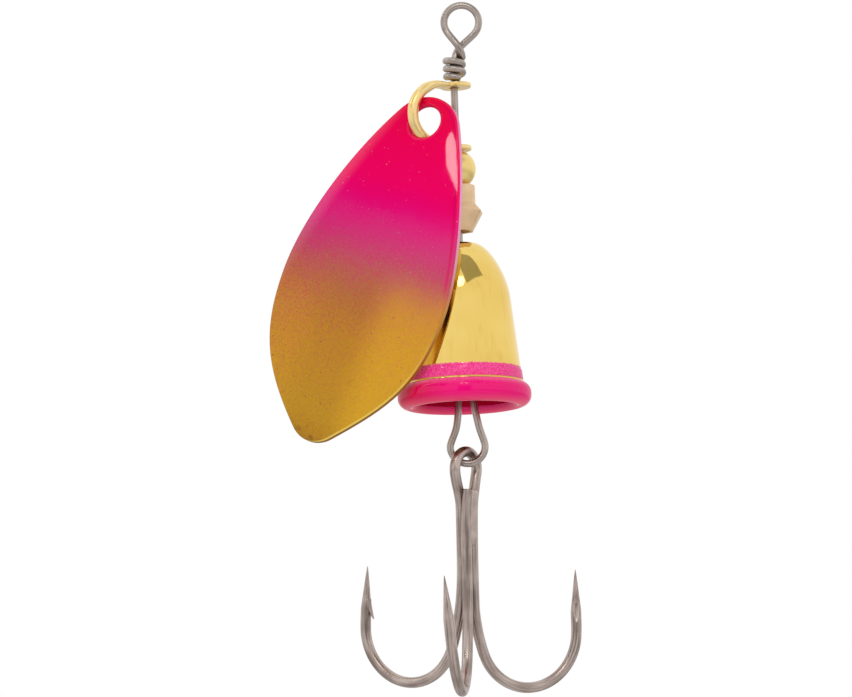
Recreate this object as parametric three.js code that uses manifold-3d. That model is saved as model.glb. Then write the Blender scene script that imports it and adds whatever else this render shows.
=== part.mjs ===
/**
 * Inline spinner: a bell-bodied fishing lure built on one wire shaft.
 *
 * Millimetres, +Z up. The shaft's axis is the Z axis and the origin lies in the
 * line eye, at the height of its centre; everything else hangs below it:
 *
 *   line eye and wraps - stirrup clevis with the blade - bead - gear - bell -
 *   lower loop - treble hook (an eyed double, a third hook and their braze).
 *
 * The pieces stand as the lure lies at rest: the stack on the shaft is pushed up
 * against the wraps, the blade hangs a little open and the treble trails back.
 */
import * as THREE from "three";
import { mergeVertices } from "three/addons/utils/BufferGeometryUtils.js";
import Module from "manifold-3d";

const wasm = await Module();
wasm.setup();

// ---------------------------------------------------------------- sizes (mm)

// Shaft wire: line eye, wraps, straight shaft, lower loop and tucked-in tag.
const WIRE = 0.76;
const EYE_RADIUS = 1.82; // of the wire's centre line
const EYE_OFFSET = 0.98; // the eye is bent to one side of the shaft
const EYE_RISE = 0.25; // centre of the eye above the origin
const EYE_LEFT_SLOPE = 31; // degrees from the shaft where the strands close up
const EYE_RIGHT_SLOPE = 42;
const CROSSING_OFFSET = 0.62;
const CROSSING_DROP = 2.5; // the strands cross this far below the origin
const CROSSING_HALF_GAP = 0.43;
const WRAP_RADIUS = 0.86; // of the wire's centre line round the shaft
const WRAP_OFFSET = 0.09; // the wraps sit a little to one side
const WRAP_PITCH = 0.84;
const WRAP_TURN = 1030; // degrees of wrapping, nearly three turns
const WRAP_DROP = 3.42; // first wrap below the origin
const LOOP_HALF_WIDTH = 1.8;
const LOOP_OFFSET = 0.15;
const LOOP_DROP = 5.84; // bottom of the loop below the bell's mouth
const LEG_LEFT = 0.6; // the legs at the bell's mouth, either side of the axis
const LEG_RIGHT = 0.93;
const LEG_LEFT_BOW = 0.35; // how far each leg bows out half way to the loop
const LEG_RIGHT_BOW = 0.47;
const SHAFT_ENTRY = { x: 0.24, y: 0.2, drop: 3.32 }; // where it enters the wraps
const SHAFT_CENTRED = 0.9; // it runs on the axis this far below the first wrap
const SHAFT_BEND_DROP = 1.2; // it leaves the axis this far below the bell's roof
const SHAFT_BEND_SHARE = 0.7; // and has this share of its offset half way down
const TAG_STRAIGHT = 2; // straight end of the tag below the bell's roof

// Clevis: round wire bent to a C, its ends hammered to pierced discs.
const CLEVIS_WIRE = 1.14;
const CLEVIS_HEIGHT = 6.69; // between the discs' middles
const CLEVIS_REACH = 4.93; // shaft axis to the middle of the bow
const CLEVIS_BOW_RISE = 0.23; // middle of the bow above the middle of the discs
const CLEVIS_SAG = 1.6; // degrees that arms and discs slope down towards the bow
// The bend, from the middle of the bow to an arm: [in from the reach, rise].
const CLEVIS_BEND = [[0, 0], [0.03, 0.5], [0.13, 0.97], [0.37, 1.52], [0.76, 2.08], [1.26, 2.56],
  [1.89, 2.94], [2.72, 3.2]];
const CLEVIS_SETBACK = 0.2; // the upper disc is pierced off its centre
const CLEVIS_DISC = 3.2;
const CLEVIS_DISC_THICKNESS = 0.5;
const CLEVIS_HOLE = 1.16;
const CLEVIS_YAW = 27; // degrees, from -X round towards -Y

// Blade: a domed plate, measured from the centre of its hole.
const BLADE_HEAD = 2.96; // top edge above the hole's centre
const BLADE_TIP = 35.3; // tip below it
const BLADE_HALF_WIDTH = 10.42;
const BLADE_WIDEST = 18.9; // widest place below the hole's centre
const BLADE_HEAD_RADIUS = 4.33;
const BLADE_TIP_RADIUS = 3.6;
const BLADE_SHOULDER_ANGLE = 58; // degrees of the head's round end, each side
const BLADE_TIP_ANGLE = 41.5; // degrees of the tip's round end, each side
const BLADE_SHOULDER_FULLNESS = 0.3; // of the curve from the shoulder to the widest place
const BLADE_WAIST_FULLNESS = 0.43; // of the curve on from there, and of its end at the heel
const BLADE_HEEL_FULLNESS = 0.47;
const BLADE_THICKNESS = 0.7;
const BLADE_HOLE = 4.15;
const BLADE_DOME_ACROSS = 55.6; // radius of the dome across the blade
const BLADE_DOME_ALONG = 143; // and along it
const BLADE_MARGIN = 4; // of the domed sheet past the blade it is cut from
const BLADE_HOLE_AT = new THREE.Vector3(-3.22, -2.32, -10.79);
const BLADE_OPEN = 22.3; // degrees between the blade and the shaft
const BLADE_PITCH = 3.2;
const BLADE_ROLL = -31.5; // about the blade's own length

// Bead and gear, threaded on the shaft.
const BEAD_HEIGHT = 3.42;
const BEAD_RADIUS = 1.97;
const BEAD_END_RADIUS = 1.05;
const GEAR_NECK_RADIUS = 1.8;
const GEAR_NECK_HEIGHT = 1.75;
const GEAR_RADIUS = 2.84; // over the corners of its six-sided flare
const GEAR_FLARE_DROP = 2.85; // widest place below the gear's top
const GEAR_HEIGHT = 4.88;
const GEAR_FOOT_RADIUS = 1.6;
const GEAR_SIDES = 6;
const GEAR_TURN = 26; // degrees its corners are turned about the shaft
const GEAR_HOLLOW_RADIUS = 1.15;
const GEAR_HOLLOW_DEPTH = 1.3;

// Bell: hollow below, solid above, with a thick rolled lip.
const BELL_HEIGHT = 17.25;
const BELL_CROWN_RADIUS = 1.4;
const BELL_SHOULDER_RADIUS = 5.12;
const BELL_SHOULDER_DROP = 5.7;
const BELL_SKIRT_RADIUS = 5.98;
const BELL_BAND_DROP = 12.9; // raised band above the lip
const BELL_BAND_STEP = 0.1;
const BELL_CREASE_DROP = 14.4;
const BELL_CREASE_DEPTH = 0.12;
const BELL_LIP_RADIUS = 6.96;
const BELL_LIP_ROUND = 1.15;
const BELL_MOUTH_RADIUS = 4.93;
const BELL_MOUTH_ROUND = 0.85;
const BELL_CROWN_FULLNESS = 1.6; // reach of the crown's curve past its flat top
const BELL_SHOULDER_FULLNESS = { inset: 0.3, rise: 2.4 }; // and above the shoulder
const BELL_WALL = 1.25;
const BELL_ROOF_DROP = 8.3; // roof of the hollow below the crown
const BELL_ROOF_ROUND = 1.2;
const BELL_HOLLOW_STEP = 0.3; // the hollow's top is this much wider than the wall leaves

// Treble hook, measured down its own axis from the loop it hangs in.
const HOOK_WIRE = 1.12;
const SHANK_GAP = 0.05; // between the three shanks of the bundle
const HOOK_EYE_RADIUS = 1.8;
const HOOK_EYE_CENTRE = 0.55;
const HOOK_EYE_ARC = 95; // degrees either side of its top
const HOOK_EYE_YAW = 51; // degrees the eye is twisted out of the XZ plane
const HOOK_BEND_RADIUS = 5.6;
const HOOK_FLARE = 20; // degrees the shank leans out where the bend starts
const HOOK_POINT_RISE = 12.1; // point above the middle of the bend
const SPEAR_LENGTH = 4.4;
const SPEAR_TIP = 0.08;
const SPEAR_ROOT = 0.1; // of the cone inside the wire's end
const BARB_LIFT = 0.46;
const BARB_LENGTH = 1.7;
const BARB_DROP = 5.5; // barb's end below the point
const BARB_WIDTH = 0.5;
const TREBLE_OFFSET = -0.27; // treble's axis beside the loop's middle
const TREBLE_SWING = 8; // degrees, trailing back
const TREBLE_LEAN = 0.8; // degrees, sideways
const BRAZE_TOP = 2.9;
const BRAZE_BOTTOM = 8.6;
const BRAZE_DEPTH = 0.62; // outwards, in the groove between two shanks
const BRAZE_REACH = 0.56; // of its middle from the treble's axis

// The three hooks, angles in degrees: azimuth of the bend and of the shank from
// +X, length to the bend, reach of the bend from the axis, lean of the point
// (outwards +), sideways set of the point, turn of the barb off the inner side.
const LEFT_HOOK = {
  azimuth: 146, shank: 146, length: 22.88, reach: 7.4, lean: -3.5, set: 0, barb: 0,
};
const RIGHT_HOOK = {
  azimuth: 26, shank: 26, length: 23.55, reach: 7.0, lean: 0, set: 0, barb: 64,
};
const FRONT_HOOK = {
  azimuth: 263.5, shank: 266, length: 23.05, reach: 7.0, lean: 0, set: -5, barb: 0,
};

// How the two ends of the eye and the third shank's cut end twist down into the
// bundle: [x, y, drop] from the loop's bottom.
const LEFT_TWIST = [[-1.0, -0.82, 1.76], [-0.78, -0.14, 2.85], [-0.6, 0.24, 4], [-0.56, 0.37, 6]];
const RIGHT_TWIST = [[0.98, 1.0, 1.76], [0.82, 0.74, 2.85], [0.68, 0.45, 4], [0.6, 0.3, 6]];
const FRONT_TWIST = [[0.2, -0.76, 2.6], [0.1, -0.72, 4], [-0.03, -0.67, 6]];

// Clearances.
const BORE = 0.94; // through bead, gear and bell, round the shaft
const STACK_GAP = 0.05; // between pieces that bear on each other
const WRAP_GAP = 0.08; // between the wraps and the sloping disc of the clevis
const BEAD_GAP = 0.23; // between clevis and bead
const STACK_PLAY = 1.25; // free travel of the stack above the bell
const TAG_SEAT_GAP = 0.05; // between the tag's end and the bell's roof
const BRAZE_CLEARANCE = 0.03; // braze to the wires it lies between

// Fineness of the faceted solids.
const WIRE_SIDES = 8;
const WIRE_STEP = 0.5;
const WRAP_STEP = 30; // degrees between the points that the wraps run through
const ROUND_SIDES = 36;

// ------------------------------------------------------------ derived heights

const radians = THREE.MathUtils.degToRad;
const clevisTop = -WRAP_DROP - (WRAP_PITCH * WRAP_TURN) / 360 - WIRE / 2 - WRAP_GAP
  - CLEVIS_DISC_THICKNESS / 2;
const clevisBottom = clevisTop - CLEVIS_HEIGHT;
const beadTop = clevisBottom - CLEVIS_DISC_THICKNESS / 2 - BEAD_GAP;
const gearTop = beadTop - BEAD_HEIGHT - STACK_GAP;
const bellTop = gearTop - GEAR_HEIGHT - STACK_PLAY;
const bellRoof = bellTop - BELL_ROOF_DROP;
const bellMouth = bellTop - BELL_HEIGHT;
const loopBottom = bellMouth - LOOP_DROP;

// ------------------------------------------------------------------ materials

const finish = (color, roughness, metalness) =>
  new THREE.MeshStandardMaterial({ color, roughness, metalness });

const NICKEL = finish(0xa3978f, 0.3, 1);
const BLACK_NICKEL = finish(0x8f837b, 0.28, 1);
const SOLDER = finish(0xa99e96, 0.35, 1);
const BRASS = finish(0xe2c47a, 0.25, 1);
const SATIN_BRASS = finish(0xd9b98f, 0.5, 0.9);
const PINK_LACQUER = finish(0xe0104e, 0.25, 0.3);
const GOLD_PLATE = finish(0xe8c770, 0.15, 1);

// -------------------------------------------------------------------- helpers

const at = (x, y, z) => new THREE.Vector3(x, y, z);

/** A closed geometry as a manifold-3d solid. */
function solid(geometry) {
  const bare = geometry.index ? geometry.toNonIndexed() : geometry.clone();
  bare.deleteAttribute("normal");
  bare.deleteAttribute("uv");
  const merged = mergeVertices(bare, 1e-4);
  return new wasm.Manifold(new wasm.Mesh({
    numProp: 3,
    vertProperties: new Float32Array(merged.attributes.position.array),
    triVerts: new Uint32Array(merged.index.array),
  }));
}

/** A manifold-3d solid as a geometry. */
function geometryOf(body) {
  const { vertProperties, triVerts } = body.getMesh();
  const geometry = new THREE.BufferGeometry();
  geometry.setAttribute("position", new THREE.BufferAttribute(vertProperties, 3));
  geometry.setIndex(new THREE.BufferAttribute(triVerts, 1));
  geometry.computeVertexNormals();
  return geometry;
}

/** Several geometries joined into one solid's geometry. */
function joined(...geometries) {
  return geometryOf(geometries.map(solid).reduce((sum, next) => sum.add(next)));
}

/** A named mesh. */
function piece(name, geometry, material) {
  const mesh = new THREE.Mesh(geometry, material);
  mesh.name = name;
  return mesh;
}

/** A regular polygon with the given distance across its corners. */
function roundSection(diameter, sides) {
  const corners = Array.from({ length: sides }, (_, i) => {
    const turn = ((i + 0.5) / sides) * 2 * Math.PI;
    return new THREE.Vector2(Math.cos(turn), Math.sin(turn)).multiplyScalar(diameter / 2);
  });
  return new THREE.Shape(corners);
}

/** Round wire swept along a smooth curve through points. */
function wire(points, diameter, sides = WIRE_SIDES) {
  const path = new THREE.CatmullRomCurve3(points, false, "centripetal");
  path.arcLengthDivisions = points.length * 12;
  const steps = Math.ceil(path.getLength() / WIRE_STEP);
  return new THREE.ExtrudeGeometry(roundSection(diameter, sides), {
    steps,
    extrudePath: path,
  });
}

/** A body turned about Z; its (radius, height) outline runs down the outside. */
function turned(outline, sides = ROUND_SIDES) {
  const points = outline.map(([r, z]) => new THREE.Vector2(r, z)).reverse();
  return new THREE.LatheGeometry(points, sides).rotateX(Math.PI / 2);
}

/** A pin along Z, for cutting round holes. */
function pin(diameter, top, bottom) {
  return new THREE.CylinderGeometry(diameter / 2, diameter / 2, top - bottom, ROUND_SIDES)
    .rotateX(Math.PI / 2)
    .translate(0, 0, (top + bottom) / 2);
}

/** Values spread evenly from one number to another, both included. */
function spread(from, to, count) {
  return Array.from({ length: count }, (_, i) => from + ((to - from) * i) / (count - 1));
}

/** Points on an arc in the XZ plane, angles in degrees from +X towards +Z. */
function arcXZ(x, z, radius, from, to, count) {
  return spread(from, to, count).map((angle) =>
    at(x + radius * Math.cos(radians(angle)), 0, z + radius * Math.sin(radians(angle))));
}

// ----------------------------------------------------------------- shaft wire

/** Centre line of the shaft wire, from the wraps' cut end to the tag's end. */
function shaftPath() {
  const wraps = spread(WRAP_TURN, 0, Math.ceil(WRAP_TURN / WRAP_STEP)).map((turn) => at(
    WRAP_OFFSET + WRAP_RADIUS * Math.cos(radians(turn)),
    WRAP_RADIUS * Math.sin(radians(turn)),
    -WRAP_DROP - (WRAP_PITCH * turn) / 360,
  ));
  const eye = arcXZ(EYE_OFFSET, EYE_RISE, EYE_RADIUS, 180 + EYE_LEFT_SLOPE, -EYE_RIGHT_SLOPE, 15);
  const loopCentre = loopBottom + LOOP_HALF_WIDTH;
  const loop = arcXZ(LOOP_OFFSET, loopCentre, LOOP_HALF_WIDTH, 180, 360, 9);
  const legTop = bellMouth + WIRE;
  const waist = (LOOP_DROP - LOOP_HALF_WIDTH) / 2;
  return [
    ...wraps,
    at(CROSSING_OFFSET, -CROSSING_HALF_GAP, -CROSSING_DROP),
    ...eye,
    at(CROSSING_OFFSET, CROSSING_HALF_GAP, -CROSSING_DROP),
    at(SHAFT_ENTRY.x, SHAFT_ENTRY.y, -SHAFT_ENTRY.drop),
    at(0, 0, -WRAP_DROP - SHAFT_CENTRED),
    at(0, 0, clevisTop),
    at(0, 0, gearTop),
    at(0, 0, bellRoof),
    at(0, 0, bellRoof - SHAFT_BEND_DROP),
    at(-LEG_LEFT * SHAFT_BEND_SHARE, 0, (bellRoof + legTop) / 2 - SHAFT_BEND_DROP),
    at(-LEG_LEFT, 0, legTop),
    at(-LEG_LEFT - LEG_LEFT_BOW, 0, loopCentre + waist),
    ...loop,
    at(LEG_RIGHT + LEG_RIGHT_BOW, 0, loopCentre + waist),
    at(LEG_RIGHT, 0, legTop),
    at(LEG_RIGHT, 0, bellRoof - TAG_STRAIGHT),
    at(LEG_RIGHT, 0, bellRoof - TAG_SEAT_GAP),
  ];
}

const shaftWire = piece("shaft_wire", wire(shaftPath(), WIRE), NICKEL);

// --------------------------------------------------------------------- clevis

/** The clevis, in the plane of +X and Z, before it is turned to its place. */
function clevisGeometry() {
  const bowMiddle = (clevisTop + clevisBottom) / 2 + CLEVIS_BOW_RISE;
  const armStart = (CLEVIS_DISC - CLEVIS_WIRE) / 2;
  const half = (way) => CLEVIS_BEND.map(([inset, rise]) =>
    at(CLEVIS_REACH - inset, 0, bowMiddle + way * rise));
  const bend = wire([
    at(armStart, 0, clevisTop), ...half(1).reverse(), ...half(-1).slice(1),
    at(armStart, 0, clevisBottom),
  ], CLEVIS_WIRE, 10);
  const halfDisc = CLEVIS_DISC_THICKNESS / 2;
  const upper = pin(CLEVIS_DISC, clevisTop + halfDisc, clevisTop - halfDisc)
    .translate(-CLEVIS_SETBACK, 0, 0);
  const lower = pin(CLEVIS_DISC, clevisBottom + halfDisc, clevisBottom - halfDisc);
  const face = halfDisc + CLEVIS_WIRE / 2;
  const hammered = [[clevisTop, 1], [clevisBottom, -1]].flatMap(([z, way]) => [
    new THREE.BoxGeometry(2 * CLEVIS_REACH, CLEVIS_DISC, CLEVIS_WIRE)
      .translate(0, 0, z + way * face),
    new THREE.BoxGeometry(CLEVIS_DISC, CLEVIS_DISC, CLEVIS_WIRE)
      .translate(0, 0, z - way * face),
  ]);
  const arms = hammered.reduce((rest, cut) => rest.subtract(solid(cut)), solid(bend));
  const level = geometryOf(arms.add(solid(upper)).add(solid(lower)));
  const sag = new THREE.Matrix4().makeShear(0, -Math.tan(radians(CLEVIS_SAG)), 0, 0, 0, 0);
  const hole = pin(CLEVIS_HOLE, clevisTop + CLEVIS_WIRE, clevisBottom - CLEVIS_WIRE);
  return geometryOf(solid(level.applyMatrix4(sag)).subtract(solid(hole)));
}

const clevis = piece("clevis", clevisGeometry(), BRASS);
clevis.rotation.z = radians(180 + CLEVIS_YAW);

// ---------------------------------------------------------------------- blade

/** Outline of the blade seen square on: +X across, +Y towards the head. */
function bladeOutline() {
  const headCentre = BLADE_HEAD - BLADE_HEAD_RADIUS;
  const tipCentre = -BLADE_TIP + BLADE_TIP_RADIUS;
  const shoulder = radians(90 - BLADE_SHOULDER_ANGLE);
  const heel = radians(BLADE_TIP_ANGLE - 90);
  const shoulderAt = new THREE.Vector2(Math.cos(shoulder), Math.sin(shoulder))
    .multiplyScalar(BLADE_HEAD_RADIUS);
  const heelAt = new THREE.Vector2(Math.cos(heel), Math.sin(heel))
    .multiplyScalar(BLADE_TIP_RADIUS);
  const upper = (shoulderAt.y + headCentre + BLADE_WIDEST) * BLADE_SHOULDER_FULLNESS;
  const lower = (BLADE_TIP - BLADE_WIDEST) * BLADE_WAIST_FULLNESS;
  const heelHandle = (BLADE_TIP - BLADE_WIDEST) * BLADE_HEEL_FULLNESS;
  const outline = new THREE.Shape();
  outline.moveTo(0, BLADE_HEAD);
  for (const side of [1, -1]) {
    const flank = new THREE.Path();
    flank.moveTo(shoulderAt.x, shoulderAt.y + headCentre);
    flank.bezierCurveTo(
      shoulderAt.x + upper * Math.sin(shoulder),
      shoulderAt.y + headCentre - upper * Math.cos(shoulder),
      BLADE_HALF_WIDTH, -BLADE_WIDEST + upper,
      BLADE_HALF_WIDTH, -BLADE_WIDEST,
    );
    flank.bezierCurveTo(
      BLADE_HALF_WIDTH, -BLADE_WIDEST - lower,
      heelAt.x - heelHandle * Math.sin(heel),
      heelAt.y + tipCentre + heelHandle * Math.cos(heel),
      heelAt.x, heelAt.y + tipCentre,
    );
    const head = spread(90, 90 - BLADE_SHOULDER_ANGLE, 6).slice(1, -1).map((angle) =>
      new THREE.Vector2(Math.cos(radians(angle)), Math.sin(radians(angle)))
        .multiplyScalar(BLADE_HEAD_RADIUS).add(new THREE.Vector2(0, headCentre)));
    const tip = spread(BLADE_TIP_ANGLE - 90, -90, 5).slice(1).map((angle) =>
      new THREE.Vector2(Math.cos(radians(angle)), Math.sin(radians(angle)))
        .multiplyScalar(BLADE_TIP_RADIUS).add(new THREE.Vector2(0, tipCentre)));
    const points = [...head, ...flank.getPoints(9), ...tip];
    const run = side > 0 ? points : points.slice(0, -1).reverse();
    for (const point of run) outline.lineTo(side * point.x, point.y);
  }
  outline.holes.push(roundSection(BLADE_HOLE, ROUND_SIDES));
  return outline;
}

/** The blade's plate, hole at the origin, outer face towards -Y, head up. */
function bladeGeometry() {
  const apex = -(BLADE_TIP - BLADE_HEAD) / 2;
  const bulge = apex ** 2 / (2 * BLADE_DOME_ALONG);
  const axisBehind = BLADE_DOME_ACROSS - bulge;
  const heights = spread(BLADE_HEAD + BLADE_MARGIN, -BLADE_TIP - BLADE_MARGIN, 14);
  const rise = (z) => (z - apex) ** 2 / (2 * BLADE_DOME_ALONG);
  const outer = heights.map((z) => [BLADE_DOME_ACROSS - rise(z), z]);
  const inner = outer.map(([r, z]) => [r - BLADE_THICKNESS, z]);
  const barrel = turned([...outer, ...inner.reverse(), outer[0]], 180)
    .translate(0, axisBehind, 0);
  const reach = 2 * BLADE_HALF_WIDTH;
  const stamp = new THREE.ExtrudeGeometry(bladeOutline(), { depth: reach, bevelEnabled: false })
    .translate(0, 0, -reach / 2)
    .rotateX(Math.PI / 2);
  return geometryOf(solid(barrel).intersect(solid(stamp)));
}

const blade = piece("blade", bladeGeometry(), PINK_LACQUER);
blade.position.copy(BLADE_HOLE_AT);
blade.rotation.set(radians(BLADE_PITCH), radians(BLADE_OPEN), radians(BLADE_ROLL));

// -------------------------------------------------------------- bead and gear

/** A round bead with flat ends and a bore. */
function beadGeometry() {
  const half = BEAD_HEIGHT / 2;
  const end = Math.acos(BEAD_END_RADIUS / BEAD_RADIUS);
  const curve = spread(end, -end, 13).map((angle) => [
    BEAD_RADIUS * Math.cos(angle),
    beadTop - half + (half * Math.sin(angle)) / Math.sin(end),
  ]);
  const bore = [[BORE / 2, beadTop - BEAD_HEIGHT], [BORE / 2, beadTop]];
  return turned([...curve, ...bore, curve[0]]);
}

/** The gear: a round neck on a six-sided flare, bored and hollow below. */
function gearGeometry() {
  const foot = gearTop - GEAR_HEIGHT;
  const widest = gearTop - GEAR_FLARE_DROP;
  const neckFoot = gearTop - GEAR_NECK_HEIGHT;
  const neck = pin(2 * GEAR_NECK_RADIUS, gearTop, widest);
  const flare = turned([
    [0, neckFoot], [GEAR_NECK_RADIUS, neckFoot], [GEAR_RADIUS, widest],
    [GEAR_FOOT_RADIUS, foot], [0, foot],
  ], GEAR_SIDES).rotateZ(radians(GEAR_TURN));
  const bore = pin(BORE, gearTop + STACK_PLAY, foot - STACK_PLAY);
  const hollow = turned([
    [0, foot + GEAR_HOLLOW_DEPTH], [BORE / 2, foot + GEAR_HOLLOW_DEPTH],
    [GEAR_HOLLOW_RADIUS, foot], [GEAR_HOLLOW_RADIUS, foot - STACK_PLAY], [0, foot - STACK_PLAY],
  ]);
  return geometryOf(solid(neck).add(solid(flare)).subtract(solid(bore)).subtract(solid(hollow)));
}

const bead = piece("bead", beadGeometry(), BRASS);
const gear = piece("gear", gearGeometry(), SATIN_BRASS);

// ----------------------------------------------------------------------- bell

/** The bell's closed section: outside down to the lip, then up the hollow. */
function bellOutline() {
  const inner = BELL_SKIRT_RADIUS - BELL_WALL;
  const roof = BELL_SHOULDER_RADIUS - BELL_WALL + BELL_HOLLOW_STEP;
  const path = new THREE.Path();
  path.moveTo(BELL_CROWN_RADIUS, 0);
  path.bezierCurveTo(
    BELL_CROWN_RADIUS + BELL_CROWN_FULLNESS, 0,
    BELL_SHOULDER_RADIUS - BELL_SHOULDER_FULLNESS.inset,
    -BELL_SHOULDER_DROP + BELL_SHOULDER_FULLNESS.rise,
    BELL_SHOULDER_RADIUS, -BELL_SHOULDER_DROP,
  );
  path.lineTo(BELL_SKIRT_RADIUS, -BELL_BAND_DROP);
  path.lineTo(BELL_SKIRT_RADIUS + BELL_BAND_STEP, -BELL_BAND_DROP - BELL_BAND_STEP);
  path.lineTo(BELL_SKIRT_RADIUS + 2 * BELL_BAND_STEP, -BELL_CREASE_DROP + BELL_CREASE_DEPTH);
  path.lineTo(BELL_SKIRT_RADIUS + BELL_BAND_STEP, -BELL_CREASE_DROP);
  const lipTop = BELL_LIP_RADIUS - BELL_LIP_ROUND;
  const upper = -BELL_CREASE_DROP - BELL_LIP_ROUND;
  const start = Math.acos((BELL_SKIRT_RADIUS + BELL_BAND_STEP - lipTop) / BELL_LIP_ROUND);
  path.absarc(lipTop, upper, BELL_LIP_ROUND, start, 0, true);
  path.absarc(lipTop, -BELL_HEIGHT + BELL_LIP_ROUND, BELL_LIP_ROUND, 0, -Math.PI / 2, true);
  path.absarc(
    BELL_MOUTH_RADIUS + BELL_MOUTH_ROUND, -BELL_HEIGHT + BELL_MOUTH_ROUND,
    BELL_MOUTH_ROUND, -Math.PI / 2, -Math.PI, true,
  );
  path.lineTo(inner, -BELL_BAND_DROP);
  path.lineTo(roof, -BELL_ROOF_DROP - BELL_ROOF_ROUND);
  path.lineTo(roof - BELL_ROOF_ROUND, -BELL_ROOF_DROP);
  path.lineTo(BORE / 2, -BELL_ROOF_DROP);
  path.lineTo(BORE / 2, 0);
  path.closePath();
  return path.getPoints(4).map((point) => [point.x, point.y + bellTop]);
}

const bell = piece("bell", turned(bellOutline()), GOLD_PLATE);

// --------------------------------------------------------------------- treble

/** Unit vector across the treble's axis at an azimuth in degrees. */
const outwards = (azimuth) => at(Math.cos(radians(azimuth)), Math.sin(radians(azimuth)), 0);

const shankRadius = (HOOK_WIRE + SHANK_GAP) / Math.sqrt(3);

/**
 * One hook in its own plane, as points from the top of the flare to the base of
 * the spear, with the spear's base and direction.
 */
function hook({ azimuth, shank, length, reach, lean, set }) {
  const out = outwards(azimuth);
  const side = outwards(azimuth + 90);
  const shankAt = outwards(shank).multiplyScalar(shankRadius);
  const bendCentre = length - HOOK_BEND_RADIUS;
  const place = (r, drop, rise = 0) => at(0, 0, -drop)
    .addScaledVector(out, r)
    .addScaledVector(side, rise * Math.tan(radians(set)));
  const tangent = radians(HOOK_FLARE);
  const flareEnd = reach - HOOK_BEND_RADIUS * Math.cos(tangent);
  const flareRadius = (flareEnd - shankRadius) / (1 - Math.cos(tangent));
  const flareTop = bendCentre + (HOOK_BEND_RADIUS - flareRadius) * Math.sin(tangent);
  const flare = spread(0, HOOK_FLARE, 5).slice(0, -1).map((angle) => place(
    shankRadius + flareRadius * (1 - Math.cos(radians(angle))),
    flareTop + flareRadius * Math.sin(radians(angle)),
  ));
  const blend = (point, i) => point.addScaledVector(
    shankAt.clone().addScaledVector(out, -shankRadius), 1 - i / flare.length);
  const bend = spread(HOOK_FLARE, 180 - lean, 15).map((angle) => {
    const drop = bendCentre + HOOK_BEND_RADIUS * Math.sin(radians(angle));
    return place(reach - HOOK_BEND_RADIUS * Math.cos(radians(angle)), drop,
      angle > 90 ? length - drop : 0);
  });
  const bendEnd = bend.at(-1);
  const pointDrop = length - HOOK_POINT_RISE;
  const straight = -bendEnd.z - pointDrop;
  const point = place(
    reach - HOOK_BEND_RADIUS * Math.cos(radians(180 - lean)) + straight * Math.tan(radians(lean)),
    pointDrop, HOOK_POINT_RISE,
  );
  const upwards = point.clone().sub(bendEnd).normalize();
  const spearBase = point.clone().addScaledVector(upwards, -SPEAR_LENGTH);
  return {
    points: [...flare.map(blend), ...bend, spearBase],
    spearBase,
    upwards,
    inwards: out.clone().negate(),
  };
}

/** The conical spear on a hook's end with its barb cut up from the wire. */
function spear({ spearBase, upwards, inwards }, barbTurn) {
  const cone = new THREE.CylinderGeometry(
    SPEAR_TIP / 2, HOOK_WIRE / 2, SPEAR_LENGTH + SPEAR_ROOT, WIRE_SIDES,
  ).translate(0, (SPEAR_LENGTH - SPEAR_ROOT) / 2, 0);
  const end = SPEAR_LENGTH - BARB_DROP;
  const face = HOOK_WIRE / 2;
  const triangle = new THREE.Shape([
    new THREE.Vector2(face - BARB_LIFT, end + BARB_LENGTH),
    new THREE.Vector2(face - BARB_LIFT, end + BARB_LIFT),
    new THREE.Vector2(face + BARB_LIFT, end),
    new THREE.Vector2(face * (1 - BARB_LENGTH / SPEAR_LENGTH), end + 2 * BARB_LENGTH),
  ]);
  const barb = new THREE.ExtrudeGeometry(triangle, { depth: BARB_WIDTH, bevelEnabled: false })
    .translate(0, 0, -BARB_WIDTH / 2);
  const up = upwards;
  const across = inwards.clone().addScaledVector(up, -inwards.dot(up)).normalize()
    .applyAxisAngle(up, radians(barbTurn));
  const frame = new THREE.Matrix4()
    .makeBasis(across, up, across.clone().cross(up))
    .setPosition(spearBase);
  return [cone, barb].map((geometry) => geometry.applyMatrix4(frame));
}

/** Points of a twist into the bundle, from the top down. */
const twisted = (twist) => twist.map(([x, y, drop]) => at(x, y, -drop));

/** The double wire's centre line: left hook, eye, right hook. */
function doublePath(left, right) {
  const eye = spread(-HOOK_EYE_ARC, HOOK_EYE_ARC, 11).map((angle) => outwards(HOOK_EYE_YAW)
    .multiplyScalar(HOOK_EYE_RADIUS * Math.sin(radians(angle)))
    .setZ(HOOK_EYE_RADIUS * Math.cos(radians(angle)) - HOOK_EYE_CENTRE));
  return [
    ...left.points.slice().reverse(), ...twisted(LEFT_TWIST).reverse(),
    ...eye, ...twisted(RIGHT_TWIST), ...right.points,
  ];
}

const leftHook = hook(LEFT_HOOK);
const rightHook = hook(RIGHT_HOOK);
const frontHook = hook(FRONT_HOOK);
const doubleWire = doublePath(leftHook, rightHook);
const singleWire = [...twisted(FRONT_TWIST), ...frontHook.points];

const double = piece("treble_double", joined(
  wire(doubleWire, HOOK_WIRE),
  ...spear(leftHook, LEFT_HOOK.barb),
  ...spear(rightHook, RIGHT_HOOK.barb),
), BLACK_NICKEL);

const single = piece("treble_single", joined(
  wire(singleWire, HOOK_WIRE),
  ...spear(frontHook, FRONT_HOOK.barb),
), BLACK_NICKEL);

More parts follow.
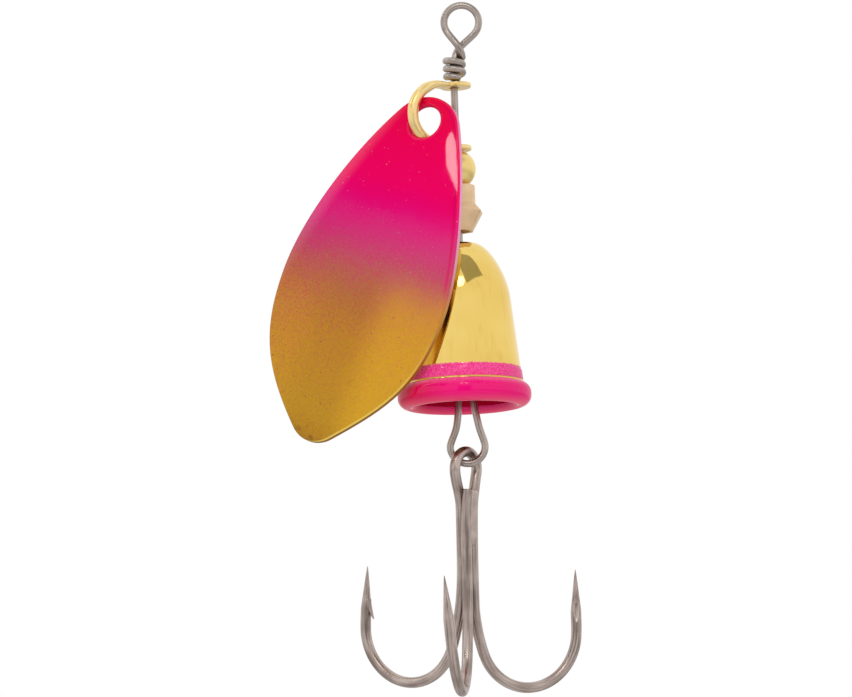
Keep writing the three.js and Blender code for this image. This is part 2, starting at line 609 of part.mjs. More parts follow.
/** Braze in the groove between the third hook's shank and the right-hand one. */
function brazeGeometry() {
  const height = BRAZE_BOTTOM - BRAZE_TOP;
  const facing = (FRONT_HOOK.shank + RIGHT_HOOK.shank + 360) / 2;
  const bar = new THREE.BoxGeometry(BRAZE_DEPTH, HOOK_WIRE, height)
    .translate(BRAZE_REACH, 0, -BRAZE_TOP - height / 2)
    .rotateZ(radians(facing));
  const grown = HOOK_WIRE + 2 * BRAZE_CLEARANCE;
  return geometryOf(solid(bar)
    .subtract(solid(wire(doubleWire, grown)))
    .subtract(solid(wire(singleWire, grown))));
}

const braze = piece("braze", brazeGeometry(), SOLDER);

const treble = new THREE.Group();
treble.add(double, single, braze);
for (const part of treble.children) part.position.x = TREBLE_OFFSET;
treble.position.set(LOOP_OFFSET, 0, loopBottom);
treble.rotation.set(radians(TREBLE_SWING), radians(TREBLE_LEAN), 0);

// ------------------------------------------------------------------- assembly

const spinner = new THREE.Group();
spinner.add(shaftWire, clevis, blade, bead, gear, bell, treble);

export default spinner;
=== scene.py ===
"""Looks of an inline spinner lure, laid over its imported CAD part.

Sizes inside the classes are millimetres where nothing else is said, measured
like the part's: +Z up, the shaft's axis on Z and the origin in the line eye.
Meshes are written in metres, so patterns on object coordinates are too.
Every CAD node is replaced by a finer surface that keeps to the same sizes.
"""
import logging
import math
from dataclasses import dataclass, field
from enum import Enum
from functools import cached_property
from typing import Any, Sequence

import bpy
import numpy as np
from mathutils import Matrix, Vector


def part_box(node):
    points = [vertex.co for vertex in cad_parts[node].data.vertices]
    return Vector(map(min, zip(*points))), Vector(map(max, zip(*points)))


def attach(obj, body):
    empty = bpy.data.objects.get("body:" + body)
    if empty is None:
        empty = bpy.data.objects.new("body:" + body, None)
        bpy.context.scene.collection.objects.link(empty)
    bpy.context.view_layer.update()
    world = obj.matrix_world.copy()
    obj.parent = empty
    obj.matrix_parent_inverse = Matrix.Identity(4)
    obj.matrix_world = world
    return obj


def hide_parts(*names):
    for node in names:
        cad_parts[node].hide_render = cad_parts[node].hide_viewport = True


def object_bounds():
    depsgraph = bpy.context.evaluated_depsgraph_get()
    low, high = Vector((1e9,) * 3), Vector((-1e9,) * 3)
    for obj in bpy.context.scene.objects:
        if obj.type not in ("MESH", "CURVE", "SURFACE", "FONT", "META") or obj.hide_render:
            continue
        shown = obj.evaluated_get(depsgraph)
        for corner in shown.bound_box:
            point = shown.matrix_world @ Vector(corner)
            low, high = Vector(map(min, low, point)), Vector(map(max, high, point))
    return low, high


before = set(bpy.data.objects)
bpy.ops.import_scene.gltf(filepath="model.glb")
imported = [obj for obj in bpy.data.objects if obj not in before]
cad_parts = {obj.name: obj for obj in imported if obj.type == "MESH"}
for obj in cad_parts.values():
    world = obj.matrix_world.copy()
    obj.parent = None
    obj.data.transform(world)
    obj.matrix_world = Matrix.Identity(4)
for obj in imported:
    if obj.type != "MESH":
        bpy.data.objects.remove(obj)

CAD_LOW, CAD_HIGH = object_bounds()
MM = 0.001
LOG = logging.getLogger("spinner")

Colour = tuple[float, float, float, float]
Point = tuple[float, float, float]
Spot = tuple[float, float]
Zone = tuple[float, float, float, float]
Stops = tuple[tuple[float, Colour], ...]
BLACK: Colour = (0, 0, 0, 1)
WHITE: Colour = (1, 1, 1, 1)


def tone(red: int, green: int, blue: int) -> Colour:
    """Linear colour of a display colour given in 0 to 255 steps.

    Args:
        red: its red.
        green: its green.
        blue: its blue.

    Returns:
        The colour, opaque.
    """
    share = np.array([red, green, blue]) / 255
    line = np.where(share <= 0.04045, share / 12.92, ((share + 0.055) / 1.055) ** 2.4)
    return (float(line[0]), float(line[1]), float(line[2]), 1.0)


def stops(*steps: tuple[float, int, int, int]) -> Stops:
    """Stops of a ramp, each from its position, red, green and blue."""
    return tuple((step[0], tone(*step[1:])) for step in steps)


def set_stops(elements: bpy.types.bpy_prop_collection, steps: Stops) -> None:
    """Sets a new ramp's stops.

    Args:
        elements: the ramp's elements, of which it starts with two.
        steps: the stops, from the lowest up.
    """
    for number, (position, colour) in enumerate(steps):
        stop = elements[number] if number < 2 else elements.new(position)
        stop.position, stop.color = position, colour


def unit(vectors: np.ndarray) -> np.ndarray:
    """Vectors along the last axis brought to length one."""
    return vectors / np.linalg.norm(vectors, axis=-1, keepdims=True)


def turn_about(axis: str, degrees: float) -> np.ndarray:
    """Rotation matrix about X, Y or Z."""
    return np.array(Matrix.Rotation(math.radians(degrees), 3, axis))


def heading(degrees: float) -> np.ndarray:
    """Unit vector across the Z axis."""
    return np.array([math.cos(math.radians(degrees)), math.sin(math.radians(degrees)), 0.0])


def once_round(count: int) -> np.ndarray:
    """Even angles once round, in radians."""
    return np.linspace(0, 2 * math.pi, count, endpoint=False)


def in_xz(points: np.ndarray) -> np.ndarray:
    """Points of the XZ plane from their across and up."""
    return np.insert(points, 1, 0.0, axis=1)


def rows(*columns: Any) -> np.ndarray:
    """Rows from columns that hold one value or many."""
    columns = [np.atleast_1d(np.asarray(column, float)) for column in columns]
    return np.stack(np.broadcast_arrays(*columns), -1)


def read_off(at: np.ndarray, runs: np.ndarray, points: np.ndarray) -> np.ndarray:
    """Points between those that stand at the given runs."""
    return np.stack([np.interp(at, runs, line) for line in points.T], -1)


def oval(angle: np.ndarray, power: Any) -> tuple[np.ndarray, np.ndarray]:
    """Cosine and sine, each raised to a power with its sign kept."""
    cosine, sine = np.cos(angle), np.sin(angle)
    return np.sign(cosine) * np.abs(cosine) ** power, np.sign(sine) * np.abs(sine) ** power


def larger(first: Any, second: Any, ease: float) -> np.ndarray:
    """The larger of two values, eased where they are near each other."""
    return 0.5 * (first + second + np.sqrt((first - second) ** 2 + ease))


def top_and_foot(node: str) -> Spot:
    """Highest and lowest height of a CAD node, in millimetres."""
    low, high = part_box(node)
    return high[2] / MM, low[2] / MM


def put(name: str, data: bpy.types.ID) -> bpy.types.Object:
    """An object that holds the data, linked into the scene.

    Args:
        name: its name.
        data: a mesh, a lamp or a camera.

    Returns:
        The object, at the origin.
    """
    item = bpy.data.objects.new(name, data)
    bpy.context.scene.collection.objects.link(item)
    return item


# --------------------------------------------------------------------- surfaces


@dataclass
class Shell:
    """A closed surface: points in millimetres, faces, and triples for its finish."""

    points: np.ndarray
    quads: np.ndarray
    fans: np.ndarray
    marks: dict[str, np.ndarray] = field(default_factory=dict)

    @classmethod
    def of_grid(cls, grid: np.ndarray, ring: bool = False, **marks: np.ndarray) -> "Shell":
        """Joins a grid of rows, each a closed loop of points, into one shell.

        Neighbouring points make quads. With ring the last row joins the first;
        otherwise each end row closes on its own middle point. The faces are
        turned outwards by the sign of the volume they enclose.

        Args:
            grid: points as rows, columns and coordinates.
            ring: whether the rows close into a loop.
            marks: values that spread over the grid, by name.

        Returns:
            The closed shell.
        """
        count, cols = grid.shape[:2]
        row = np.arange(count if ring else count - 1)[:, None] * cols
        after = (row + cols) % (count * cols)
        col = np.arange(cols)
        beside = (col + 1) % cols
        quads = np.stack([row + col, row + beside, after + beside, after + col], -1)
        values = {name: np.broadcast_to(mark, grid.shape) for name, mark in marks.items()}
        values["points"] = grid
        values = {name: value.reshape(-1, 3) for name, value in values.items()}
        fans = np.zeros((0, 3), int)
        if not ring:
            last = (count - 1) * cols
            pole = np.full(cols, count * cols)
            fans = np.concatenate([
                np.stack([pole, beside, col], -1),
                np.stack([pole + 1, last + col, last + beside], -1),
            ])
            values = {
                name: np.concatenate([value, [value[:cols].mean(0), value[-cols:].mean(0)]])
                for name, value in values.items()
            }
        shell = cls(values.pop("points"), quads.reshape(-1, 4), fans, values)
        return shell if shell.volume() > 0 else shell.turned_out()

    def volume(self) -> float:
        """Volume enclosed, from the signed tetrahedra between faces and origin.

        Returns:
            Cubic millimetres, below zero where the faces point inwards.
        """
        halves = np.concatenate([self.quads[:, [0, 1, 2]], self.quads[:, [0, 2, 3]], self.fans])
        corner = self.points[halves]
        return float(np.einsum("ij,ij->", corner[:, 0], np.cross(corner[:, 1], corner[:, 2]))) / 6

    def turned_out(self) -> "Shell":
        """The same shell with its faces turned round."""
        return Shell(self.points, self.quads[:, ::-1], self.fans[:, ::-1], self.marks)

    def placed(self, turn: np.ndarray, shift: Sequence[float]) -> "Shell":
        """The shell turned by a matrix and then shifted."""
        return Shell(self.points @ turn.T + np.array(shift), self.quads, self.fans, self.marks)

    def joined(self, *others: "Shell") -> "Shell":
        """This shell and others as one, with the marks that all of them carry.

        Args:
            others: the shells to add.

        Returns:
            The one shell.
        """
        shells = (self, *others)
        starts = np.cumsum([0] + [len(shell.points) for shell in shells[:-1]])
        shared = [name for name in self.marks if all(name in other.marks for other in others)]
        return Shell(
            np.concatenate([shell.points for shell in shells]),
            np.concatenate([shell.quads + start for shell, start in zip(shells, starts)]),
            np.concatenate([shell.fans + start for shell, start in zip(shells, starts)]),
            {name: np.concatenate([shell.marks[name] for shell in shells]) for name in shared},
        )

    def mesh(self, name: str) -> bpy.types.Mesh:
        """Writes the shell into a smooth-shaded mesh in metres.

        Args:
            name: the mesh's name.

        Returns:
            The mesh, its marks as point attributes.
        """
        mesh = bpy.data.meshes.new(name)
        mesh.vertices.add(len(self.points))
        mesh.vertices.foreach_set("co", (self.points * MM).astype(np.float32).ravel())
        corners = np.concatenate([self.quads.ravel(), self.fans.ravel()])
        sizes = np.concatenate([np.full(len(self.quads), 4), np.full(len(self.fans), 3)])
        mesh.loops.add(len(corners))
        mesh.loops.foreach_set("vertex_index", corners.astype(np.int32))
        mesh.polygons.add(len(sizes))
        starts = np.concatenate([[0], np.cumsum(sizes)[:-1]])
        mesh.polygons.foreach_set("loop_start", starts.astype(np.int32))
        mesh.update(calc_edges=True)
        mesh.validate()
        mesh.polygons.foreach_set("use_smooth", np.ones(len(mesh.polygons), bool))
        for mark_name, mark in self.marks.items():
            layer = mesh.attributes.new(mark_name, "FLOAT_VECTOR", "POINT")
            layer.data.foreach_set("vector", mark.astype(np.float32).ravel())
        return mesh


def smooth_curve(knots: np.ndarray, per_span: int = 24) -> np.ndarray:
    """Centripetal Catmull-Rom curve through knots.

    Each span is the cubic that leaves and meets its knots with the slopes of the
    chords around them, weighted by the square roots of the chord lengths. Past
    each end stands a knot mirrored through the end knot.

    Args:
        knots: points to pass through.
        per_span: curve points to each span.

    Returns:
        The curve's points.
    """
    ends = 2 * knots[[0, -1]] - knots[[1, -2]]
    chain = np.concatenate([ends[:1], knots, ends[1:]])
    gap = np.sqrt(np.linalg.norm(np.diff(chain, axis=0), axis=1))[:, None]
    before, here, there, beyond = chain[:-3], chain[1:-2], chain[2:-1], chain[3:]
    gap_in, gap_on, gap_out = gap[:-2], gap[1:-1], gap[2:]
    leave = gap_on * ((here - before) / gap_in - (there - before) / (gap_in + gap_on)
                      + (there - here) / gap_on)
    meet = gap_on * ((there - here) / gap_on - (beyond - here) / (gap_on + gap_out)
                     + (beyond - there) / gap_out)
    u = np.linspace(0, 1, per_span, endpoint=False)[None, :, None]
    here, there, leave, meet = (value[:, None] for value in (here, there, leave, meet))
    spans = (here + leave * u + (3 * (there - here) - 2 * leave - meet) * u ** 2
             + (2 * (here - there) + leave + meet) * u ** 3)
    return np.concatenate([spans.reshape(-1, 3), knots[-1:]])


def run_of(curve: np.ndarray) -> np.ndarray:
    """Distance along a curve at each of its points."""
    steps = np.linalg.norm(np.diff(curve, axis=0), axis=1)
    return np.concatenate([[0.0], np.cumsum(steps)])


def along(curve: np.ndarray, distances: np.ndarray) -> np.ndarray:
    """Points of a curve at distances from its start."""
    return read_off(distances, run_of(curve), curve)


def travelling_frame(path: np.ndarray) -> tuple[np.ndarray, np.ndarray]:
    """Two directions across a path that travel along it without twisting.

    A fixed direction is laid square to the path at every point. The smallest
    turn from each tangent to the next shows how far that direction twists on
    each step, and the running sum of the twists is turned back.

    Args:
        path: points of the path.

    Returns:
        The two unit directions at every point.
    """
    tangent = unit(np.gradient(path, axis=0))
    fixed = np.array([0.21, 0.87, 0.44])
    normal = unit(fixed - (tangent @ fixed)[:, None] * tangent)
    here, there, carried = tangent[:-1], tangent[1:], normal[:-1]
    lean = np.einsum("ij,ij->i", carried, there) / (1 + np.einsum("ij,ij->i", here, there))
    carried = carried - lean[:, None] * (here + there)
    sine = np.einsum("ij,ij->i", np.cross(carried, normal[1:]), there)
    cosine = np.einsum("ij,ij->i", carried, normal[1:])
    twist = -np.concatenate([[0.0], np.cumsum(np.arctan2(sine, cosine))])[:, None]
    side = np.cross(tangent, normal)
    normal = np.cos(twist) * normal + np.sin(twist) * side
    return normal, np.cross(tangent, normal)


def tube(path: np.ndarray, cross: np.ndarray, side: np.ndarray, deep: np.ndarray,
         out: np.ndarray, distance: np.ndarray | None = None) -> Shell:
    """Carries a section along a path.

    A point is its path point, plus its cross times side, plus its deep times out.

    Args:
        path: the path's points.
        cross: the section along side, a row to each path point.
        side: direction of cross, one for all or one to each path point.
        deep: the section along out.
        out: direction of deep.
        distance: how far along the straight wire each path point lies.

    Returns:
        The tube, marked with its place on the straight wire if that is known.
    """
    side, out = (np.atleast_2d(way)[:, None] for way in (side, out))
    grid = path[:, None] + cross[..., None] * side + deep[..., None] * out
    if distance is None:
        return Shell.of_grid(grid)
    straight = np.stack(np.broadcast_arrays(distance[:, None], cross, deep), -1)
    return Shell.of_grid(grid, straight=straight)


class End(Enum):
    """How the end of a wire is finished."""

    CUT = "cut square, its edge a little round"
    POINT = "drawn out to a point"


@dataclass(frozen=True)
class RoundWire:
    """Round wire swept along a smooth path."""

    diameter: float
    first: End = End.CUT
    last: End = End.CUT
    step: float = 0.16
    sides: int = 28
    edge: float = 0.12
    edge_rows: int = 7
    taper: float = 4.4
    taper_power: float = 0.92
    tip: float = 0.035

    def radius(self, distance: np.ndarray, end: End) -> np.ndarray:
        """Radius at a distance from an end.

        A cut end rounds off over its edge as a quarter circle. A point narrows
        by a power a little under one.

        Args:
            distance: distances from the end.
            end: how that end is finished.

        Returns:
            The radius at each distance.
        """
        full = self.diameter / 2
        if end is End.CUT:
            inside = np.clip(1 - distance / self.edge, 0, 1)
            return full - self.edge * (1 - np.sqrt(1 - inside ** 2))
        share = np.clip(distance / self.taper, 0, 1)
        return self.tip + (full - self.tip) * share ** self.taper_power

    def swept(self, knots: np.ndarray) -> Shell:
        """Carries a circle along the smooth curve through knots.

        The circle's cosine lies along one travelling direction and its sine
        along the other.

        Args:
            knots: points on the wire's centre line.

        Returns:
            The wire, marked with where each point lies along the straight wire.
        """
        curve = smooth_curve(knots)
        length = run_of(curve)[-1]
        rim = self.edge * (1 - np.cos(np.linspace(0, math.pi / 2, self.edge_rows)))
        inner = np.linspace(self.edge, length - self.edge, int(length / self.step))[1:-1]
        distance = np.concatenate([rim, inner, length - rim[::-1]])
        path = along(curve, distance)
        radius = np.minimum(self.radius(distance, self.first),
                            self.radius(length - distance, self.last))[:, None]
        normal, side = travelling_frame(path)
        angle = once_round(self.sides)
        return tube(path, radius * np.cos(angle), normal, radius * np.sin(angle), side, distance)


def softened(corners: Sequence[Point], steps: int = 6, guard: float = 0.15) -> np.ndarray:
    """Closed outline whose corners are rounded.

    Each corner becomes an arc that touches both of its sides, walked in even
    angles, with one more point just outside either end of the arc so that the
    flat sides stay flat when they are shaded.

    Args:
        corners: across, up and rounding radius of each corner.
        steps: steps in each arc.
        guard: how far outside the arc those points stand, as a share of its radius.

    Returns:
        The outline's points.
    """
    data = np.array(corners, float)
    corner, radius = data[:, :2], data[:, 2:]
    arrive = unit(corner - np.roll(corner, 1, 0))
    depart = unit(np.roll(corner, -1, 0) - corner)
    cross = arrive[:, 0] * depart[:, 1] - arrive[:, 1] * depart[:, 0]
    bend = np.arctan2(cross, np.einsum("ij,ij->i", arrive, depart))
    left = np.stack([-arrive[:, 1], arrive[:, 0]], -1) * np.sign(bend)[:, None]
    start = corner - arrive * radius * np.tan(np.abs(bend) / 2)[:, None]
    angle = (np.abs(bend)[:, None] * np.linspace(0, 1, steps + 1))[..., None]
    arcs = (start[:, None] + left[:, None] * radius[:, None] * (1 - np.cos(angle))
            + arrive[:, None] * radius[:, None] * np.sin(angle))
    reach = guard * radius[:, None]
    arcs = np.concatenate([arcs[:, :1] - arrive[:, None] * reach, arcs,
                           arcs[:, -1:] + depart[:, None] * reach], 1)
    return arcs.reshape(-1, 2)


def bezier(points: Sequence[Spot], steps: int) -> np.ndarray:
    """Cubic curve from four control points, both ends included.

    Args:
        points: start, two handles and end.
        steps: steps along the curve.

    Returns:
        The curve's points.
    """
    u = np.linspace(0, 1, steps + 1)[:, None]
    start, leave, meet, end = np.array(points, float)
    return ((1 - u) ** 3 * start + 3 * u * (1 - u) ** 2 * leave
            + 3 * u ** 2 * (1 - u) * meet + u ** 3 * end)


def arc(centre: Spot, radius: float, start: float, end: float, steps: int) -> np.ndarray:
    """Points on an arc, its angles in degrees from across towards up."""
    angle = np.radians(np.linspace(start, end, steps + 1))
    return np.stack([centre[0] + radius * np.cos(angle), centre[1] + radius * np.sin(angle)], -1)


def turned(radius: np.ndarray, height: np.ndarray, angle: np.ndarray) -> np.ndarray:
    """Rows of points round the Z axis: radius times cosine and sine, at a height."""
    spread = np.broadcast_arrays(radius * np.cos(angle), radius * np.sin(angle), height)
    return np.stack(spread, -1)


def lathe(outline: np.ndarray, sides: int, **marks: np.ndarray) -> Shell:
    """Turns a closed outline of radius and height about the Z axis.

    Args:
        outline: radius and height of each point.
        sides: points round the axis.
        marks: values that spread over the outline and round the axis, by name.

    Returns:
        The ring-shaped shell.
    """
    grid = turned(outline[:, :1], outline[:, 1:], once_round(sides))
    return Shell.of_grid(grid, ring=True, **marks)


# --------------------------------------------------------------------- finishes


@dataclass(frozen=True)
class Signal:
    """A number carried by a shader socket; sums and products add their nodes."""

    recipe: "Recipe"
    socket: bpy.types.NodeSocket

    def maths(self, operation: str, first: Any, second: Any) -> "Signal":
        """Adds one Math node.

        Args:
            operation: the node's operation.
            first: its first value or signal.
            second: its second value or signal.

        Returns:
            The result.
        """
        node = self.recipe.node("ShaderNodeMath", {"operation": operation}, {0: first, 1: second})
        return Signal(self.recipe, node.outputs[0])

    def __add__(self, other: Any) -> "Signal":
        """This plus another."""
        return self.maths("ADD", self, other)

    __radd__ = __add__

    def __sub__(self, other: Any) -> "Signal":
        """This minus another."""
        return self.maths("SUBTRACT", self, other)

    def __rsub__(self, other: Any) -> "Signal":
        """Another minus this."""
        return self.maths("SUBTRACT", other, self)

    def __mul__(self, other: Any) -> "Signal":
        """This times another."""
        return self.maths("MULTIPLY", self, other)

    __rmul__ = __mul__

    def __truediv__(self, other: Any) -> "Signal":
        """This divided by another."""
        return self.maths("DIVIDE", self, other)

    def eased(self, low: float, high: float) -> "Signal":
        """Zero below low and one above high, easing between them."""
        node = self.recipe.node("ShaderNodeMapRange", {"interpolation_type": "SMOOTHSTEP"},
                                {"Value": self, "From Min": low, "From Max": high})
        return Signal(self.recipe, node.outputs["Result"])

    def past(self, drop: float, edge: Spot) -> "Signal":
        """One beyond a drop, easing between the edge's bounds about it."""
        return self.eased(drop + edge[0], drop + edge[1])

    def within(self, zone: Zone) -> "Signal":
        """One inside a zone, rising from its first bound and gone at its last."""
        return self.eased(*zone[:2]) * (1 - self.eased(*zone[2:]))


class Recipe:
    """A node tree under construction, which ends in one shader."""

    def __init__(self, owner: bpy.types.Material | bpy.types.World, shader: str,
                 pattern: str = "") -> None:
        """Starts from the owner's shader; patterns read the named mark, if any.

        Args:
            owner: the material or world that holds the nodes.
            shader: its shader node's name.
            pattern: the mark that patterns read, or nothing for the object's coordinates.
        """
        owner.use_nodes = True
        self.owner, self.tree, self.pattern = owner, owner.node_tree, pattern
        self.shader = self.tree.nodes[shader]

    @classmethod
    def named(cls, name: str, pattern: str = "") -> "Recipe":
        """Starts a material of that name."""
        return cls(bpy.data.materials.new(name), "Principled BSDF", pattern)

    def node(self, kind: str, settings: dict[str, Any], inputs: dict[Any, Any]) -> bpy.types.Node:
        """Adds a node.

        Args:
            kind: the node's type.
            settings: its properties or a ramp's stops, set before anything is linked.
            inputs: value, socket or signal for each named or numbered input.

        Returns:
            The node.
        """
        node = self.tree.nodes.new(kind)
        for name, value in settings.items():
            if name == "stops":
                set_stops(node.color_ramp.elements, value)
            else:
                setattr(node, name, value)
        for name, value in inputs.items():
            self.feed(node.inputs[name], value)
        return node

    def feed(self, socket: bpy.types.NodeSocket, value: Any) -> None:
        """Links a signal or socket to an input, or sets its value."""
        source = value.socket if isinstance(value, Signal) else value
        if isinstance(source, bpy.types.NodeSocket):
            self.tree.links.new(source, socket)
        else:
            socket.default_value = source

    def mark(self, name: str) -> bpy.types.NodeSocket:
        """A mark of the mesh."""
        node = self.node("ShaderNodeAttribute", {"attribute_name": name}, {})
        return node.outputs["Vector"]

    @cached_property
    def place(self) -> bpy.types.NodeSocket:
        """What patterns read: the chosen mark or the object's own coordinates."""
        if self.pattern:
            return self.mark(self.pattern)
        return self.node("ShaderNodeTexCoord", {}, {}).outputs["Object"]

    def parts(self, vector: bpy.types.NodeSocket) -> tuple[Signal, Signal, Signal]:
        """The three coordinates of a vector."""
        node = self.node("ShaderNodeSeparateXYZ", {}, {0: vector})
        return tuple(Signal(self, output) for output in node.outputs)

    def scaled(self, vector: bpy.types.NodeSocket, factors: Point) -> bpy.types.NodeSocket:
        """A vector times one factor for each coordinate."""
        node = self.node("ShaderNodeVectorMath", {"operation": "MULTIPLY"},
                         {0: vector, 1: factors})
        return node.outputs[0]

    def noise(self, scale: float, detail: float = 2.0, vector: Any = None) -> Signal:
        """Smooth noise about one half, on the pattern's place or another vector."""
        node = self.node("ShaderNodeTexNoise", {}, {
            "Vector": vector or self.place, "Scale": scale, "Detail": detail,
        })
        return Signal(self, node.outputs["Fac"])

    def mixed(self, share: Any, first: Any, second: Any) -> bpy.types.NodeSocket:
        """Colour that goes from the first to the second by a share."""
        # a Mix node takes colours at inputs 6 and 7 and gives one at output 2
        node = self.node("ShaderNodeMix", {"data_type": "RGBA"}, {0: share, 6: first, 7: second})
        return node.outputs[2]

    def ramp(self, signal: Signal, steps: Stops) -> bpy.types.NodeSocket:
        """Colour looked up along stops between zero and one."""
        return self.node("ShaderNodeValToRGB", {"stops": steps}, {0: signal}).outputs[0]

    def bump(self, height: Signal, depth: float) -> bpy.types.NodeSocket:
        """Normal for a height of the given depth in millimetres."""
        node = self.node("ShaderNodeBump", {}, {
            "Height": height, "Distance": depth * MM, "Strength": 1.0,
        })
        return node.outputs[0]

    def done(self, **sockets: Any) -> bpy.types.ID:
        """Feeds the shader's sockets, underscores for spaces, and gives the owner."""
        for name, value in sockets.items():
            title = name.replace("_", " ").title().replace("Ior", "IOR")
            self.feed(self.shader.inputs[title], value)
        return self.owner


def blended(share: Signal, first: float, second: float) -> Signal:
    """Number that goes from the first to the second by a share."""
    return share * (second - first) + first


@dataclass(frozen=True)
class Patches:
    """Where noise rises from one level to another."""

    scale: float
    low: float
    high: float
    detail: float = 2.0
    stretch: Point | None = None

    def share(self, recipe: Recipe) -> Signal:
        """One in the patches and zero between them."""
        place = recipe.scaled(recipe.place, self.stretch) if self.stretch else None
        return recipe.noise(self.scale, self.detail, place).eased(self.low, self.high)


@dataclass(frozen=True)
class Glaze:
    """A colour laid over others at some strength, plain or in patches."""

    colour: Colour
    strength: float
    patches: Patches | None = None

    def over(self, below: Any, recipe: Recipe, where: Any = 1.0) -> bpy.types.NodeSocket:
        """Lays the glaze over a colour.

        Args:
            below: the colour under it.
            recipe: the material's recipe.
            where: share of each place that it may cover.

        Returns:
            The glazed colour.
        """
        share = where * self.strength
        if self.patches:
            share = self.patches.share(recipe) * share
        return recipe.mixed(share, below, self.colour)


@dataclass(frozen=True)
class DrawnWire:
    """Bright drawn wire: plated, with fine streaks along its length."""

    name: str
    light: Colour
    dark: Colour
    roughness: float = 0.24
    rougher: float = 0.14
    stretch: Point = (0.25, 6, 6)
    streak_depth: float = 0.0008
    streak_share: float = 0.6
    cloud_scale: float = 420.0
    tone_range: Spot = (0.35, 0.66)
    rough_range: Spot = (0.3, 0.75)

    def material(self) -> bpy.types.Material:
        """Streaks are noise stretched along the straight wire's length.

        Returns:
            The material.
        """
        recipe = Recipe.named(self.name)
        streaks = recipe.noise(1.0, 1.0, recipe.scaled(recipe.mark("straight"), self.stretch))
        clouds = recipe.noise(self.cloud_scale)
        share = streaks * self.streak_share + clouds * (1 - self.streak_share)
        return recipe.done(
            base_color=recipe.mixed(share.eased(*self.tone_range), self.dark, self.light),
            metallic=1.0,
            roughness=blended(streaks.eased(*self.rough_range), self.roughness,
                              self.roughness + self.rougher),
            normal=recipe.bump(streaks, self.streak_depth),
        )


@dataclass(frozen=True)
class Plating:
    """Plated metal with faint clouding, a fine grain and a chosen sheen."""

    name: str
    light: Colour
    dark: Colour
    roughness: float
    grain: float
    depth: float
    rougher: float = 1.5
    cloud_scale: float = 500.0
    tone_range: Spot = (0.34, 0.66)
    rough_range: Spot = (0.3, 0.7)

    def material(self) -> bpy.types.Material:
        """Clouds vary the tone and the roughness; a fine grain gives the bump.

        Returns:
            The material.
        """
        recipe = Recipe.named(self.name)
        clouds = recipe.noise(self.cloud_scale, 3.0)
        return recipe.done(
            base_color=recipe.mixed(clouds.eased(*self.tone_range), self.dark, self.light),
            metallic=1.0,
            roughness=blended(clouds.eased(*self.rough_range), self.roughness,
                              self.roughness * self.rougher),
            normal=recipe.bump(recipe.noise(self.grain), self.depth),
        )


